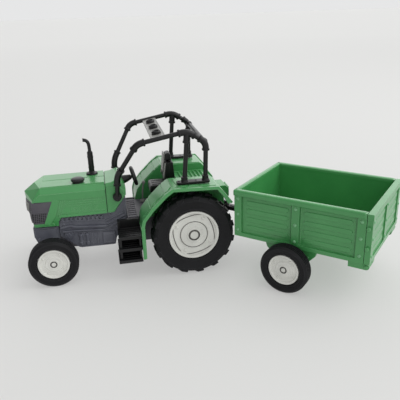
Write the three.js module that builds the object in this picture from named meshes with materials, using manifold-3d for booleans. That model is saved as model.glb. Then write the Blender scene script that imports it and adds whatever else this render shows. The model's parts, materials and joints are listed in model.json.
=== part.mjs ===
// Toy tractor with a coupled tipping-tailgate trailer, about 1:32 scale.
// Millimetres, +Z up. The tractor's nose points along -X and its left side faces -Y.
// Inside this file X is measured from the rear axle and Z from the ground; the last
// lines move the finished model so that the middle of its footprint is the origin.
import * as THREE from "three";
import { mergeVertices } from "three/addons/utils/BufferGeometryUtils.js";
import { ConvexGeometry } from "three/addons/geometries/ConvexGeometry.js";
import Module from "manifold-3d";

const wasm = await Module();
wasm.setup();

// ---- fits ----
const gap = 0.3; // between two pieces that touch
const running = 0.4; // around an axle or pin that turns

// ---- wheels ----
const wheelbase = 82.4;
const rearWheel = { tyreR: 25, width: 12.5, rimR: 15, faceY: 34.5, segments: 28 };
const frontWheel = { tyreR: 14.3, width: 8, rimR: 9.1, faceY: 30.2, segments: 20 };
const lug = { count: 15, length: 6.4, thick: 3, tall: 2.4, slant: 0.62 };
const rearAxleR = 1.6;
const smallAxleR = 1.1;

// ---- tractor body ----
const bodyHalf = 14.2; // hood and cowl, half the width
const bodyWall = 1.5;
const blockHalf = bodyHalf - bodyWall - gap; // engine block inside the hood sides
const hoodTop = 55.6;
const hoodSkirt = 37; // lower edge of the hood sides
const noseOverhang = 14.4; // nose tip ahead of the front axle
const noseX = -wheelbase - noseOverhang;
const noseLength = 10.4; // from the tip back to the flat hood top
const hoodFrontX = noseX + noseLength;
const hoodSeamX = -49; // between hood and cowl
const cowlTop = 57.2;
const cowlPeakX = -41.3;
const firewallX = -37.7;
const blockBottom = 15.2;
const bolsterFrontX = -wheelbase - 11;
const bolsterBottom = 20.4;

// ---- cab ----
const floorTop = 33.4;
const floorThick = 1.4;
const floorHalf = bodyHalf + 2.8;
const fenderInnerY = 14.8;
const fenderOuterY = 36.2;
const fenderWall = 1.5;
const fenderFrontX = -rearWheel.tyreR - 5.3;
const fenderTop = 2 * rearWheel.tyreR + 5.4;
const fenderFoot = 14.2; // lower end of the front guard
const deckTop = fenderTop - 5.4;
const deckFrontX = -4.6;
const tailX = rearWheel.tyreR + 3.4;
const tailTop = rearWheel.tyreR + 19.5;
const seatHalf = 6.6;
const seatFrontX = -22;
const seatBackX = -6.2;

// ---- roll cage ----
const cageY = 27.6; // centre plane of each side frame
const cageTubeR = 1.45;
const cageSleeveR = 1.95;
const cageFrontTop = { x: -29.4, z: 81.2 };
const cageMiddle = { x: -1, z: 86.3 };
const cageRearTop = { x: 9.6, z: 79.3 };
const cageFootY = bodyHalf + 3;
const cageFoot = { x: -42.4, z: 47.2 };
const cagePlate = { x0: -8.3, x1: 11.4, half: 2.6, thick: 1.5 };
const lampPitch = 15.6;
const lampR = 2.7;

// ---- hitch and trailer; trailer sizes run from its hitch pin ----
const hitchX = rearWheel.tyreR + 2;
const hitchZ = 28;
const hitchPinR = 1.2;
const trailerYaw = THREE.MathUtils.degToRad(-43.7);
const trailerAxleX = 58.6;
const boxFrontX = 23.6;
const boxLength = 75.6;
const boxRearX = boxFrontX + boxLength;
const boxHalf = 31.1; // over the top rim and the posts
const trailerWheel = { tyreR: 14, width: 7.4, rimR: 8.9, faceY: boxHalf + 7.9, segments: 20 };
const boxWallHalf = boxHalf - 1.7; // over the plain side walls
const boxWall = 1.6;
const boxBottom = 24.7;
const boxTop = 52.9;
const rimTall = 3.2;
const boxFloor = 2;
const gateThick = 2.2;
const hingeDrop = 1.9; // hinge axis below the floor of the box
const hingePinR = 0.8;
const knuckleR = 1.7;

// ---------- geometry helpers ----------
const plain = (geometry) => {
  const bare = geometry.index ? geometry.toNonIndexed() : geometry.clone();
  for (const name of Object.keys(bare.attributes)) {
    if (name !== "position") bare.deleteAttribute(name);
  }
  return mergeVertices(bare, 1e-4);
};

const solid = (geometry) => {
  const merged = plain(geometry);
  return new wasm.Manifold(
    new wasm.Mesh({
      numProp: 3,
      vertProperties: Float32Array.from(merged.attributes.position.array),
      triVerts: Uint32Array.from(merged.index.array),
    }),
  );
};

const surface = (manifold) => {
  const mesh = manifold.getMesh();
  const geometry = new THREE.BufferGeometry();
  geometry.setAttribute("position", new THREE.BufferAttribute(mesh.vertProperties, 3));
  geometry.setIndex(new THREE.BufferAttribute(mesh.triVerts, 1));
  return geometry;
};

const joined = (...geometries) =>
  surface(geometries.map(solid).reduce((sum, next) => sum.add(next)));

const cut = (body, ...tools) =>
  surface(tools.map(solid).reduce((rest, tool) => rest.subtract(tool), solid(body)));

const block = (x0, x1, y0, y1, z0, z1) =>
  new THREE.BoxGeometry(x1 - x0, y1 - y0, z1 - z0)
    .translate((x0 + x1) / 2, (y0 + y1) / 2, (z0 + z1) / 2);

const rod = (radius, length, segments = 16) =>
  new THREE.CylinderGeometry(radius, radius, length, segments);

// a rod along Y whose ends are at y0 and y1
const axleRod = (radius, x, z, y0, y1, segments = 16) =>
  rod(radius, y1 - y0, segments).translate(x, (y0 + y1) / 2, z);

// a rod along Z
const post = (radius, x, y, z0, z1, segments = 16) =>
  rod(radius, z1 - z0, segments).rotateX(Math.PI / 2).translate(x, y, (z0 + z1) / 2);

const outline = (points) => new THREE.Shape(points.map(([a, b]) => new THREE.Vector2(a, b)));

// a side outline (x, z) made as thick as the piece is wide, from y0 to y1
const sideCut = (points, y0, y1) =>
  new THREE.ExtrudeGeometry(outline(points), { depth: y1 - y0, bevelEnabled: false })
    .rotateX(Math.PI / 2)
    .translate(0, y1, 0);

// a plan outline (x, y) standing from z0 to z1
const planCut = (points, z0, z1) =>
  new THREE.ExtrudeGeometry(outline(points), { depth: z1 - z0, bevelEnabled: false })
    .translate(0, 0, z0);

// an outline (y, z) running along X from x0 to x1
const frontCut = (points, x0, x1) =>
  new THREE.ExtrudeGeometry(outline(points), { depth: x1 - x0, bevelEnabled: false })
    .rotateZ(Math.PI / 2)
    .rotateY(Math.PI / 2)
    .translate(x0, 0, 0);

const hull = (points) => new ConvexGeometry(points.map((p) => new THREE.Vector3(...p)));

// the same corner on both sides of the middle
const pair = (x, y, z) => [[x, y, z], [x, -y, z]];

const turned = (profile, segments) =>
  new THREE.LatheGeometry(profile.map(([r, y]) => new THREE.Vector2(r, y)), segments);

// a path whose steps are its own points, so that straight runs stay one step long
class PointPath extends THREE.Curve {
  constructor(points) {
    super();
    this.points = points;
  }
  getPoint(t, target = new THREE.Vector3()) {
    const place = t * (this.points.length - 1);
    const first = Math.min(Math.floor(place), this.points.length - 2);
    return target.lerpVectors(this.points[first], this.points[first + 1], place - first);
  }
  getPointAt(t, target) {
    return this.getPoint(t, target);
  }
  getTangentAt(t, target = new THREE.Vector3()) {
    const place = Math.round(t * (this.points.length - 1));
    const before = this.points[Math.max(place - 1, 0)];
    const here = this.points[place];
    const after = this.points[Math.min(place + 1, this.points.length - 1)];
    const arriving = here.clone().sub(before).normalize();
    const leaving = after.clone().sub(here).normalize();
    return target.addVectors(arriving, leaving).normalize();
  }
}

// points of a route with its corners rounded; bends holds [radius, steps] of each corner
const rounded = (corners, reach, steps = 4) => {
  const points = [corners[0].clone()];
  for (let i = 1; i < corners.length - 1; i += 1) {
    const back = corners[i - 1].clone().sub(corners[i]).setLength(reach);
    const ahead = corners[i + 1].clone().sub(corners[i]).setLength(reach);
    const bend = new THREE.QuadraticBezierCurve3(
      corners[i].clone().add(back), corners[i].clone(), corners[i].clone().add(ahead));
    points.push(...bend.getPoints(steps));
  }
  points.push(corners[corners.length - 1].clone());
  return points;
};

const swept = (points, radius, sides = 8) => {
  const ring = new THREE.Shape();
  for (let i = 0; i < sides; i += 1) {
    const angle = ((i + 0.5) / sides) * 2 * Math.PI;
    const place = [radius * Math.cos(angle), radius * Math.sin(angle)];
    if (i === 0) ring.moveTo(...place);
    else ring.lineTo(...place);
  }
  return new THREE.ExtrudeGeometry(ring, {
    steps: points.length - 1,
    extrudePath: new PointPath(points),
    bevelEnabled: false,
  });
};

// ---------- materials ----------
const finish = (color, roughness, metalness = 0) => () =>
  new THREE.MeshStandardMaterial({ color, roughness, metalness });
const greenPlastic = finish(0x2f8a4a, 0.35);
const greyPlastic = finish(0x5b5c63, 0.5);
const blackPlastic = finish(0x17171a, 0.4);
const darkPlastic = finish(0x3a3a3f, 0.6);
const lightPlastic = finish(0x9c9c9c, 0.5);
const rimPlastic = finish(0xcfcfca, 0.4);
const tyreRubber = finish(0x1b1c1e, 0.75);
const steel = finish(0xb8b8bc, 0.3, 1);

const piece = (name, geometry, material) => {
  const mesh = new THREE.Mesh(geometry, material());
  mesh.name = name;
  return mesh;
};
const sides = [["left", -1], ["right", 1]];

// ---------- engine, bolster and axle cases ----------
const blockFrontX = -wheelbase + 4.2;
const blockTop = 46.5;
const engineBlock = () => {
  const profile = [
    [blockFrontX, 24.2], [blockFrontX + 10.5, blockBottom + 0.4], [blockFrontX + 15.3, blockBottom],
    [firewallX - 8.2, blockBottom], [firewallX - 7.2, 19.5], [firewallX, 30.8], [firewallX, blockTop],
    [blockFrontX, blockTop],
  ];
  return piece("engine_block", sideCut(profile, -blockHalf, blockHalf), greyPlastic);
};

const frontBolster = () => {
  const profile = [
    [bolsterFrontX, 25], [bolsterFrontX + 1.8, bolsterBottom], [blockFrontX - gap, bolsterBottom],
    [blockFrontX - gap, hoodSkirt - 6], [bolsterFrontX, hoodSkirt - 6],
  ];
  const cheek = blockHalf - 0.7;
  return piece("front_bolster", sideCut(profile, -cheek, cheek), greyPlastic);
};

const beamHalf = frontWheel.faceY - frontWheel.width - 0.8;
const frontAxleBeam = () => {
  const z = frontWheel.tyreR;
  const beam = block(-wheelbase - 3, -wheelbase + 3, -beamHalf, beamHalf, z - 3, z + 3);
  const riser = block(-wheelbase - 3, -wheelbase + 3, -7, 7, z, bolsterBottom - gap);
  const bore = axleRod(smallAxleR + running, -wheelbase, z, -beamHalf - 1, beamHalf + 1);
  return piece("front_axle_beam", cut(joined(beam, riser), bore), greyPlastic);
};

const caseFrontX = -13; // joint between the gearbox and the rear axle case
const gearboxCase = () => {
  const top = floorTop - floorThick - gap;
  const profile = [
    [firewallX + gap, 17], [firewallX + 3.7, 14], [caseFrontX - gap, 14], [caseFrontX - gap, top],
    [firewallX + gap, top],
  ];
  return piece("gearbox_case", sideCut(profile, -9.5, 9.5), darkPlastic);
};

const caseRearX = rearWheel.tyreR - 5;
const caseTop = rearWheel.tyreR + 10.6;
const rearCaseHalf = rearWheel.faceY - rearWheel.width - 0.8;
const rearAxleCase = () => {
  const z = rearWheel.tyreR;
  const low = floorTop - floorThick - gap;
  const housing = sideCut([[caseFrontX, 15], [caseRearX, 15], [caseRearX, caseTop],
    [seatBackX - 1.6, caseTop], [seatBackX - 1.6, low], [caseFrontX, low]], -11, 11);
  const arm = axleRod(5, 0, z, -rearCaseHalf, rearCaseHalf);
  const bore = axleRod(rearAxleR + running, 0, z, -rearCaseHalf - 1, rearCaseHalf + 1);
  return piece("rear_axle_case", cut(joined(housing, arm), bore), darkPlastic);
};

// ---------- hood, nose and cowl ----------
// the hood's outer shape, or its hollow when drawn in by inset
const hoodShell = (inset, rearX) => {
  const y = bodyHalf - inset;
  const top = hoodTop - inset;
  const low = hoodSkirt - 5.2 + inset;
  return hull([
    ...pair(rearX, y, hoodSkirt - 6), ...pair(rearX, y, top - 3.4), ...pair(rearX, y - 1.9, top - 0.4),
    [rearX, 0, top],
    ...pair(hoodFrontX + inset, y, top - 3.2), ...pair(hoodFrontX + inset, y - 1.9, top),
    [hoodFrontX - 4 + inset, 0, top + 0.3],
    ...pair(noseX + 5.7 + inset, y, hoodTop - 6.7), [noseX + inset, 0, hoodTop - 4.6],
    ...pair(noseX + 3.9 + inset, y - 0.4, hoodSkirt + 0.5), ...pair(noseX + 5.2 + inset, y - 1, low),
    [noseX + 1.2 + inset, 0, hoodSkirt + 5], [noseX + 2.8 + inset, 0, low],
  ]);
};

const grilleTop = hoodTop - 7.9;
const grilleBottom = hoodSkirt - 3;
const across = bodyHalf + 6; // a tool that reaches past both sides of the hood
const hoodOpening = () => sideCut([
  [noseX + 6.4, grilleTop], [noseX + 16.4, grilleTop - 0.4], [noseX + 10.4, grilleBottom - 0.2],
  [noseX + 5.8, grilleBottom + 0.2],
], -across, across);

const hood = () => {
  const below = hoodSkirt - 17;
  const underCut = sideCut([
    [blockFrontX - 0.2, below], [blockFrontX + 0.2, hoodSkirt - 2.6], [blockFrontX + 2.2, hoodSkirt],
    [hoodSeamX + 9, hoodSkirt], [hoodSeamX + 9, below],
  ], -across, across);
  const rear = hoodSeamX - gap / 2;
  const frontHalf = bodyHalf - 3.6;
  const frontOpening = block(noseX - 5, noseX + 6.3, -frontHalf, frontHalf, grilleBottom + 0.2,
    grilleTop - 0.7);
  const chute = block(noseX + 7.3, rear + 5, -bodyHalf + bodyWall, bodyHalf - bodyWall, below,
    hoodSkirt + 3);
  return piece("hood", cut(hoodShell(0, rear), hoodShell(bodyWall, rear + 5), underCut, hoodOpening(),
    frontOpening, chute), greenPlastic);
};

const grilleInsert = () => {
  const shell = solid(hoodShell(bodyWall + gap, hoodSeamX));
  const keep = solid(block(noseX, blockFrontX - gap, -across, across, grilleBottom - 0.2, grilleTop - 0.1));
  return piece("grille_insert", surface(shell.intersect(keep)), darkPlastic);
};

const headlight = (name, side) => {
  const lens = block(noseX + 0.8, noseX + 1.6, 4.4, 9.4, grilleTop - 7.3, grilleTop - 2.1);
  const bezel = block(noseX + 1.3, noseX + 2.4, 3.6, 10, grilleTop - 8.1, grilleTop - 1.3);
  return piece(name, onSide(joined(lens, bezel), side), lightPlastic);
};

const cowlRearX = firewallX + 0.5;
const cowl = () => {
  const x0 = hoodSeamX + gap / 2;
  const outer = [
    [x0, hoodSkirt], [x0, hoodTop - 0.4], [cowlPeakX - 4.1, hoodTop], [cowlPeakX, cowlTop],
    [cowlPeakX + 1.9, cowlTop - 1], [cowlRearX, cowlTop - 5.2], [cowlRearX, blockTop + 1],
    [cowlRearX - 4.8, hoodSkirt + 4.2], [cowlRearX - 7.8, hoodSkirt],
  ];
  const body = solid(sideCut(outer, -bodyHalf, bodyHalf));
  const section = [
    [-bodyHalf, 20], [bodyHalf, 20], [bodyHalf, hoodTop - 3.6], [bodyHalf - 2.6, cowlTop + 1],
    [-bodyHalf + 2.6, cowlTop + 1], [-bodyHalf, hoodTop - 3.6],
  ];
  const shape = body.intersect(solid(frontCut(section, x0 - 5, cowlRearX + 5)));
  const hollow = solid(block(x0 - 5, firewallX + gap, -bodyHalf + bodyWall, bodyHalf - bodyWall,
    20, blockTop + gap));
  const light = solid(block(x0 - 5, cowlPeakX - 0.2, -bodyHalf + bodyWall, bodyHalf - bodyWall, 40,
    hoodTop - 3.4));
  return piece("cowl", surface(shape.subtract(hollow).subtract(light)), greenPlastic);
};

const capX = hoodSeamX - 15.5;
const capY = -8;
const airCleanerCap = () => {
  const profile = [[0, 0], [3.1, 0], [2.9, 0.9], [3.9, 1.7], [3.9, 2.5], [3.2, 3.1], [0, 3.1]];
  return piece("air_cleaner_cap", turned(profile, 20).rotateX(Math.PI / 2)
    .translate(capX, capY, hoodTop + gap), blackPlastic);
};

const stackX = hoodSeamX - 7.2;
const stackY = 6.5;
const exhaustStack = () => {
  const z0 = hoodTop + gap;
  const bendFrom = new THREE.Vector3(stackX, stackY, z0 + 14);
  const bend = new THREE.CubicBezierCurve3(bendFrom, new THREE.Vector3(stackX, stackY, z0 + 19.5),
    new THREE.Vector3(stackX + 0.2, stackY, z0 + 21.6), new THREE.Vector3(stackX - 3.4, stackY, z0 + 21.9));
  const pipe = swept([new THREE.Vector3(stackX, stackY, z0 + 6), ...bend.getPoints(7)], 0.95);
  return piece("exhaust_stack", joined(post(3.2, stackX, stackY, z0, z0 + 1.2, 20),
    post(1.5, stackX, stackY, z0 + 0.6, z0 + 14.5, 14), pipe), blackPlastic);
};

// ---------- cab ----------
const cabFloor = () => {
  const narrow = fenderInnerY - gap;
  const x0 = firewallX + gap;
  const x1 = fenderFrontX - gap;
  return piece("cab_floor", planCut([
    [x0, -floorHalf], [x1, -floorHalf], [x1, -narrow], [-9, -narrow], [-9, narrow], [x1, narrow],
    [x1, floorHalf], [x0, floorHalf],
  ], floorTop - floorThick, floorTop), darkPlastic);
};

const stepLadder = (name, side) => {
  const x0 = firewallX - 7.3;
  const x1 = fenderFrontX - gap - 0.4;
  const inner = floorHalf + gap;
  const outer = fenderOuterY - 3;
  const back = block(x0 + 1, x1, inner, inner + 1.5, 14, floorTop);
  const cheek = [[x0 + 1, 14], [x0 + 1.4, 14], [x0 + 2.6, floorTop], [x0 + 1, floorTop]];
  const treads = [[28, 0], [20.6, 0.4], [13.4, 0.8]].map(([z, more]) =>
    block(x0 - more + 0.8, x1, inner, outer + more, z - 1.5, z));
  const rails = [x0 + 1.2, x1 - 1.4].map((x) => block(x, x + 1.2, inner, outer - 1, 12.4, 28));
  const body = joined(back, sideCut(cheek, inner, inner + 4), ...treads, ...rails);
  return piece(name, onSide(body, side), blackPlastic);
};

// turning a mirrored solid's triangles keeps its faces pointing out
const mirrorY = new THREE.Matrix4().makeScale(1, -1, 1);
const mirrored = (geometry) => {
  const flipped = plain(geometry).applyMatrix4(mirrorY);
  const index = flipped.index.array;
  for (let i = 0; i < index.length; i += 3) [index[i], index[i + 1]] = [index[i + 1], index[i]];
  return flipped;
};
const onSide = (geometry, side) => (side < 0 ? mirrored(geometry) : geometry);

const fenderRearX = rearWheel.tyreR - 2.4;
const fender = (name, side) => {
  const w = fenderWall;
  const outside = [
    [fenderFrontX, fenderFoot], [fenderFrontX, fenderTop - 20.8], [fenderFrontX + 1, fenderTop - 17.2],
    [fenderFrontX + 6, fenderTop - 10.8], [fenderFrontX + 14.1, fenderTop - 3],
    [fenderFrontX + 18.3, fenderTop], [fenderRearX - 8, fenderTop - 0.9],
    [fenderRearX - 4.3, fenderTop - 5.4], [fenderRearX, fenderTop - 11],
  ];
  const inside = [
    [fenderRearX - w * 1.4, fenderTop - 11.8], [fenderRearX - 5.4, fenderTop - 6.5],
    [fenderRearX - 8.7, fenderTop - 0.9 - w], [fenderFrontX + 19, fenderTop - w],
    [fenderFrontX + 15.1, fenderTop - 4.2], [fenderFrontX + 7.1, fenderTop - 11.9],
    [fenderFrontX + 2.3, fenderTop - 17.9], [fenderFrontX + w, fenderTop - 21.2],
    [fenderFrontX + w, fenderFoot],
  ];
  const cover = sideCut([...outside, ...inside], fenderInnerY, fenderOuterY);
  const panel = [...outside.slice(1), [fenderRearX, caseTop + 0.4], [fenderFrontX, caseTop - 4]];
  const wall = sideCut(panel, fenderInnerY, fenderInnerY + w);
  return piece(name, onSide(joined(cover, wall), side), greenPlastic);
};

const rearDeck = () => {
  const half = fenderInnerY - gap;
  const w = fenderWall;
  const z0 = caseTop + gap * 2;
  const inner = fenderRearX - 2.6;
  const profile = [
    [deckFrontX, deckTop], [deckFrontX, z0], [deckFrontX + w, z0], [deckFrontX + w, deckTop - w],
    [inner - 5.6, deckTop - w], [inner, deckTop - 7], [inner, z0], [fenderRearX, z0],
    [fenderRearX, deckTop - 6.4], [fenderRearX - 7, deckTop],
  ];
  const tail = [
    [inner + 0.5, z0 + 0.2], [tailX - 0.8, z0 + 0.2], [tailX, z0 + 1.2], [tailX, tailTop - 2.4],
    [tailX - 2.2, tailTop], [inner + 0.5, tailTop],
  ];
  return piece("rear_deck", joined(sideCut(profile, -half, half), sideCut(tail, -6.2, 6.2)), greenPlastic);
};

const seat = () => {
  const z0 = floorTop + gap;
  const cushionTop = 49;
  const base = block(seatFrontX + 3, seatBackX - 2, -4.6, 4.6, z0, 44);
  const cushion = sideCut([
    [seatFrontX, 44.3], [seatBackX - 0.6, 44.3], [seatBackX - 0.6, cushionTop], [seatFrontX + 1, cushionTop],
    [seatFrontX, cushionTop - 1.2],
  ], -seatHalf, seatHalf);
  const back = sideCut([
    [seatBackX - 6.4, cushionTop + gap], [seatBackX, cushionTop + gap], [seatBackX - 1, 62.8],
    [seatBackX - 4.4, 62.8], [seatBackX - 6, 60.8],
  ], -seatHalf, seatHalf);
  const head = sideCut([
    [seatBackX - 5.6, 63.1], [seatBackX - 1.2, 63.1], [seatBackX - 1.6, 67.4], [seatBackX - 2.8, 68.2],
    [seatBackX - 5, 67.4],
  ], -3.6, 3.6);
  return [
    piece("seat_base", base, blackPlastic),
    piece("seat_cushion", cushion, blackPlastic),
    piece("seat_backrest", back, lightPlastic),
    piece("seat_headrest", head, blackPlastic),
  ];
};

const gearLever = () => {
  const z0 = floorTop + gap;
  const knob = new THREE.SphereGeometry(1.2, 10, 8).translate(-24.6, 8.4, z0 + 13);
  return piece("gear_lever", joined(post(1.8, -26, 8.4, z0, z0 + 1.5, 12),
    swept([new THREE.Vector3(-26, 8.4, z0 + 0.5), new THREE.Vector3(-24.6, 8.4, z0 + 13)], 0.6), knob),
  lightPlastic);
};

// ---------- steering ----------
const wheelPitch = Math.atan2(3.2, 11.6); // tilt of the steering wheel's axis
const wheelCentre = new THREE.Vector3(-31, 0, 54.4);
const steerR = 6.25;
const steeringParts = () => {
  const group = new THREE.Group();
  group.position.copy(wheelCentre);
  group.rotation.y = -wheelPitch; // local X is the column, pointing at the driver
  const ring = new THREE.TorusGeometry(steerR - 0.7, 0.7, 8, 24).rotateY(Math.PI / 2);
  const spokes = [0, 1, 2].map((i) =>
    block(-0.5, 0.5, -0.6, 0.6, 0.5, steerR - 0.8).rotateX((i * 2 * Math.PI) / 3));
  const hub = rod(1.5, 1.8, 12).rotateZ(Math.PI / 2);
  group.add(piece("steering_wheel", joined(ring, hub, ...spokes), blackPlastic));
  const column = rod(0.9, 4.6, 12).rotateZ(Math.PI / 2).translate(-0.9 - gap - 2.3, 0, 0);
  group.add(piece("steering_column", column, blackPlastic));
  return group;
};

// ---------- roll cage ----------
const cageSide = (name, side) => {
  const at = (p, y) => new THREE.Vector3(p.x, y, p.z);
  const shoulder = new THREE.Vector3(cageFoot.x + 0.8, cageFootY + 1.6, cageFoot.z + 13.4);
  const foot = at(cageFoot, cageFootY);
  const rearFoot = new THREE.Vector3(cageRearTop.x - 0.8, cageY, fenderTop + gap + 0.8);
  const corners = [foot, shoulder, at(cageFrontTop, cageY), at(cageMiddle, cageY), at(cageRearTop, cageY),
    rearFoot];
  const tube = swept(rounded(corners, 4.6, 3), cageTubeR);
  const sleeve = (i, reach) => {
    const back = corners[i - 1].clone().sub(corners[i]).setLength(reach).add(corners[i]);
    const ahead = corners[i + 1].clone().sub(corners[i]).setLength(reach).add(corners[i]);
    return swept(rounded([back, corners[i], ahead], 4.6, 3), cageSleeveR);
  };
  const sleeves = [sleeve(1, 6.4), sleeve(2, 6.6), sleeve(3, 7), sleeve(4, 5.6)];
  const plateZ = fenderTop + gap;
  const plate = block(cagePlate.x0, cagePlate.x1, cageY - cagePlate.half, cageY + cagePlate.half,
    plateZ, plateZ + cagePlate.thick);
  const middleFoot = new THREE.Vector3(cageMiddle.x - 2.6, cageY, plateZ + 0.8);
  const middlePost = swept([middleFoot, at(cageMiddle, cageY)], cageTubeR);
  const collars = [middleFoot.x + 0.1, rearFoot.x].map((x) =>
    post(cageSleeveR, x, cageY, plateZ + 1, plateZ + 3.2, 8));
  const boss = axleRod(2.2, cageFoot.x, cageFoot.z, bodyHalf + gap, cageFootY + 1.5, 12);
  return piece(name, onSide(joined(tube, ...sleeves, plate, middlePost, ...collars, boss), side),
    blackPlastic);
};

const cageCrossbar = () => {
  const end = cageY - cageSleeveR - gap;
  return piece("cage_crossbar", axleRod(cageTubeR, cageRearTop.x - 0.3, cageRearTop.z - 0.2, -end, end, 10),
    blackPlastic);
};

const railSlope = Math.atan2(cageMiddle.z - cageFrontTop.z, cageMiddle.x - cageFrontTop.x);
const panelLength = 8.4;
const lightPanel = () => {
  const group = new THREE.Group();
  const along = 0.44; // how far back the panel sits between front elbow and middle bend
  group.position.set(
    THREE.MathUtils.lerp(cageFrontTop.x, cageMiddle.x, along), 0,
    THREE.MathUtils.lerp(cageFrontTop.z, cageMiddle.z, along));
  group.rotation.y = -railSlope;
  const half = cageY - cageTubeR - gap;
  group.add(piece("light_panel", block(-panelLength / 2, panelLength / 2, -half, half, -1, 0.4),
    lightPlastic));
  [-1, 0, 1].forEach((i) => {
    const lamp = post(lampR, 0, i * lampPitch, 0.4 + gap, 2, 16);
    group.add(piece(`roof_lamp_${i + 2}`, lamp, blackPlastic));
  });
  return group;
};

// ---------- wheels, each drawn with its outer face at y = 0 and its inside at y < 0 ----------
const tyreRing = ({ tyreR, width, rimR, segments }, tread) => {
  const bore = rimR + gap;
  const crown = tyreR - tread;
  return turned([
    [bore, -0.9], [bore, 0.9 - width], [rimR + 2.2, -width], [crown - 1.2, -width],
    [crown, 1 - width], [crown, -1], [crown - 1.2, 0], [rimR + 2.2, 0], [bore, -0.9],
  ], segments);
};

const rearTyre = () => {
  const bars = [];
  for (const row of [-1, 1]) {
    for (let i = 0; i < lug.count; i += 1) {
      const bar = new THREE.BoxGeometry(lug.thick, lug.length, lug.tall)
        .rotateZ(row * lug.slant)
        .translate(0, row * 2.9 - rearWheel.width / 2, lug.tall / 2 - rearWheel.tyreR + 0.15)
        .rotateY(((i + (row < 0 ? 0 : 0.5)) * 2 * Math.PI) / lug.count);
      bars.push(bar);
    }
  }
  return joined(tyreRing(rearWheel, 1.9), ...bars);
};

const rimDisc = ({ width, rimR, segments }, axleR, dish) => {
  const hubR = axleR + 2.6;
  const bore = axleR + gap;
  return turned([
    [0, -dish.bore], [bore, -dish.bore], [bore, 0.4 - width], [hubR, 0.4 - width],
    [hubR, -dish.depth - 2], [rimR - 1.3, -dish.depth - 2], [rimR - 1.3, 0.9 - width], [rimR, 0.9 - width],
    [rimR, -0.9], [rimR - 1, -0.9], [rimR - 1.6, -dish.depth], [dish.discR, -dish.depth],
    [dish.discR, -dish.step], [hubR - 1, -dish.step], [hubR - 1, -0.7], [0, -0.7],
  ], segments);
};
const rearDish = { discR: 7.6, step: 1.6, depth: 2.3, bore: 3.6 };
const smallDish = { discR: 4.6, step: 1.1, depth: 1.7, bore: 2.8 };

// a tyre, a rim and their place; the wheels of one axle turn together with it
const axleSet = (prefix, size, axleR, dish, x, tyreShape) => {
  const group = new THREE.Group();
  group.position.set(x, 0, size.tyreR);
  const half = size.faceY - dish.bore - gap;
  group.add(piece(`${prefix}_axle`, axleRod(axleR, 0, 0, -half, half, 12), steel));
  for (const [word, side] of sides) {
    const wheel = new THREE.Group();
    wheel.position.y = side * size.faceY;
    if (side < 0) wheel.rotation.z = Math.PI;
    wheel.add(piece(`${prefix}_rim_${word}`, rimDisc(size, axleR, dish), rimPlastic));
    wheel.add(piece(`${prefix}_tyre_${word}`, tyreShape(), tyreRubber));
    group.add(wheel);
  }
  return group;
};

// ---------- hitch ----------
const eyeThick = 2.6;
const hitchClevis = () => {
  const root = caseRearX + gap;
  const reach = hitchX + 3.2;
  const jaw = (z0, z1) => planCut([[root, -4.4], [hitchX + 1, -3.2], [reach, 0], [hitchX + 1, 3.2],
    [root, 4.4]], z0, z1);
  const low = hitchZ - eyeThick / 2 - gap;
  const high = hitchZ + eyeThick / 2 + gap;
  const web = block(root, root + 2.3, -4.4, 4.4, low - 1.6, high + 1.6);
  const bore = post(hitchPinR + gap, hitchX, 0, low - 5, high + 5);
  return piece("hitch_clevis", cut(joined(jaw(low - 1.6, low), jaw(high, high + 1.6), web), bore),
    blackPlastic);
};

const hitchPin = () => {
  const low = hitchZ - eyeThick / 2 - gap - 1.6 - 0.8;
  const high = hitchZ + eyeThick / 2 + gap + 1.6 + gap;
  return piece("hitch_pin", joined(post(hitchPinR, hitchX, 0, low, high + 0.6),
    post(2.1, hitchX, 0, high, high + 1.2)), steel);
};

// ---------- trailer, drawn along +X from its hitch pin at x = 0 ----------
const trailerBox = () => {
  const tub = solid(block(boxFrontX + 1.2, boxRearX, -boxWallHalf, boxWallHalf, boxBottom, boxTop));
  const inside = boxWallHalf - boxWall;
  const hollow = solid(block(boxFrontX + 1.2 + boxWall, boxRearX + 5, -inside, inside,
    boxBottom + boxFloor, boxTop + 5));
  const rims = [
    block(boxFrontX, boxRearX, boxWallHalf - 1, boxHalf, boxTop - rimTall, boxTop),
    block(boxFrontX, boxRearX, -boxHalf, -boxWallHalf + 1, boxTop - rimTall, boxTop),
    block(boxFrontX, boxFrontX + 2, -boxHalf, boxHalf, boxTop - rimTall, boxTop),
  ];
  const posts = [];
  for (const side of [-1, 1]) {
    for (const x of [boxFrontX + 0.4, boxFrontX + boxLength * 0.47, boxRearX - 4.6]) {
      const y0 = side < 0 ? -boxHalf + 0.4 : boxWallHalf - 1;
      posts.push(block(x, x + 4.6, y0, y0 + boxHalf - 0.4 - boxWallHalf + 1, boxBottom, boxTop - 1));
    }
    const lip = side < 0 ? -boxHalf + 0.4 : boxWallHalf - 1;
    posts.push(block(boxFrontX + 0.4, boxRearX, lip, lip + boxHalf - 0.4 - boxWallHalf + 1,
      boxBottom, boxBottom + 2.4));
  }
  const whole = [...rims, ...posts].map(solid).reduce((sum, next) => sum.add(next), tub.subtract(hollow));
  return piece("trailer_box", surface(whole), greenPlastic);
};

const skirtY = boxHalf - 4.7;
const skirtThick = 2.4;
const trailerSkirt = (name, side) => {
  const top = boxBottom - gap;
  const axleZ = trailerWheel.tyreR;
  const shape = sideCut([
    [trailerAxleX - 15.4, top], [trailerAxleX - 14.4, top - 3], [trailerAxleX - 4.5, axleZ - 3.4],
    [trailerAxleX + 4.5, axleZ - 3.4], [trailerAxleX + 14.4, top - 3], [trailerAxleX + 15.4, top],
  ], skirtY, skirtY + skirtThick);
  const bore = axleRod(smallAxleR + running, trailerAxleX, axleZ, skirtY - 1, skirtY + skirtThick + 1);
  return piece(name, onSide(cut(shape, bore), side), greenPlastic);
};

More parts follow.
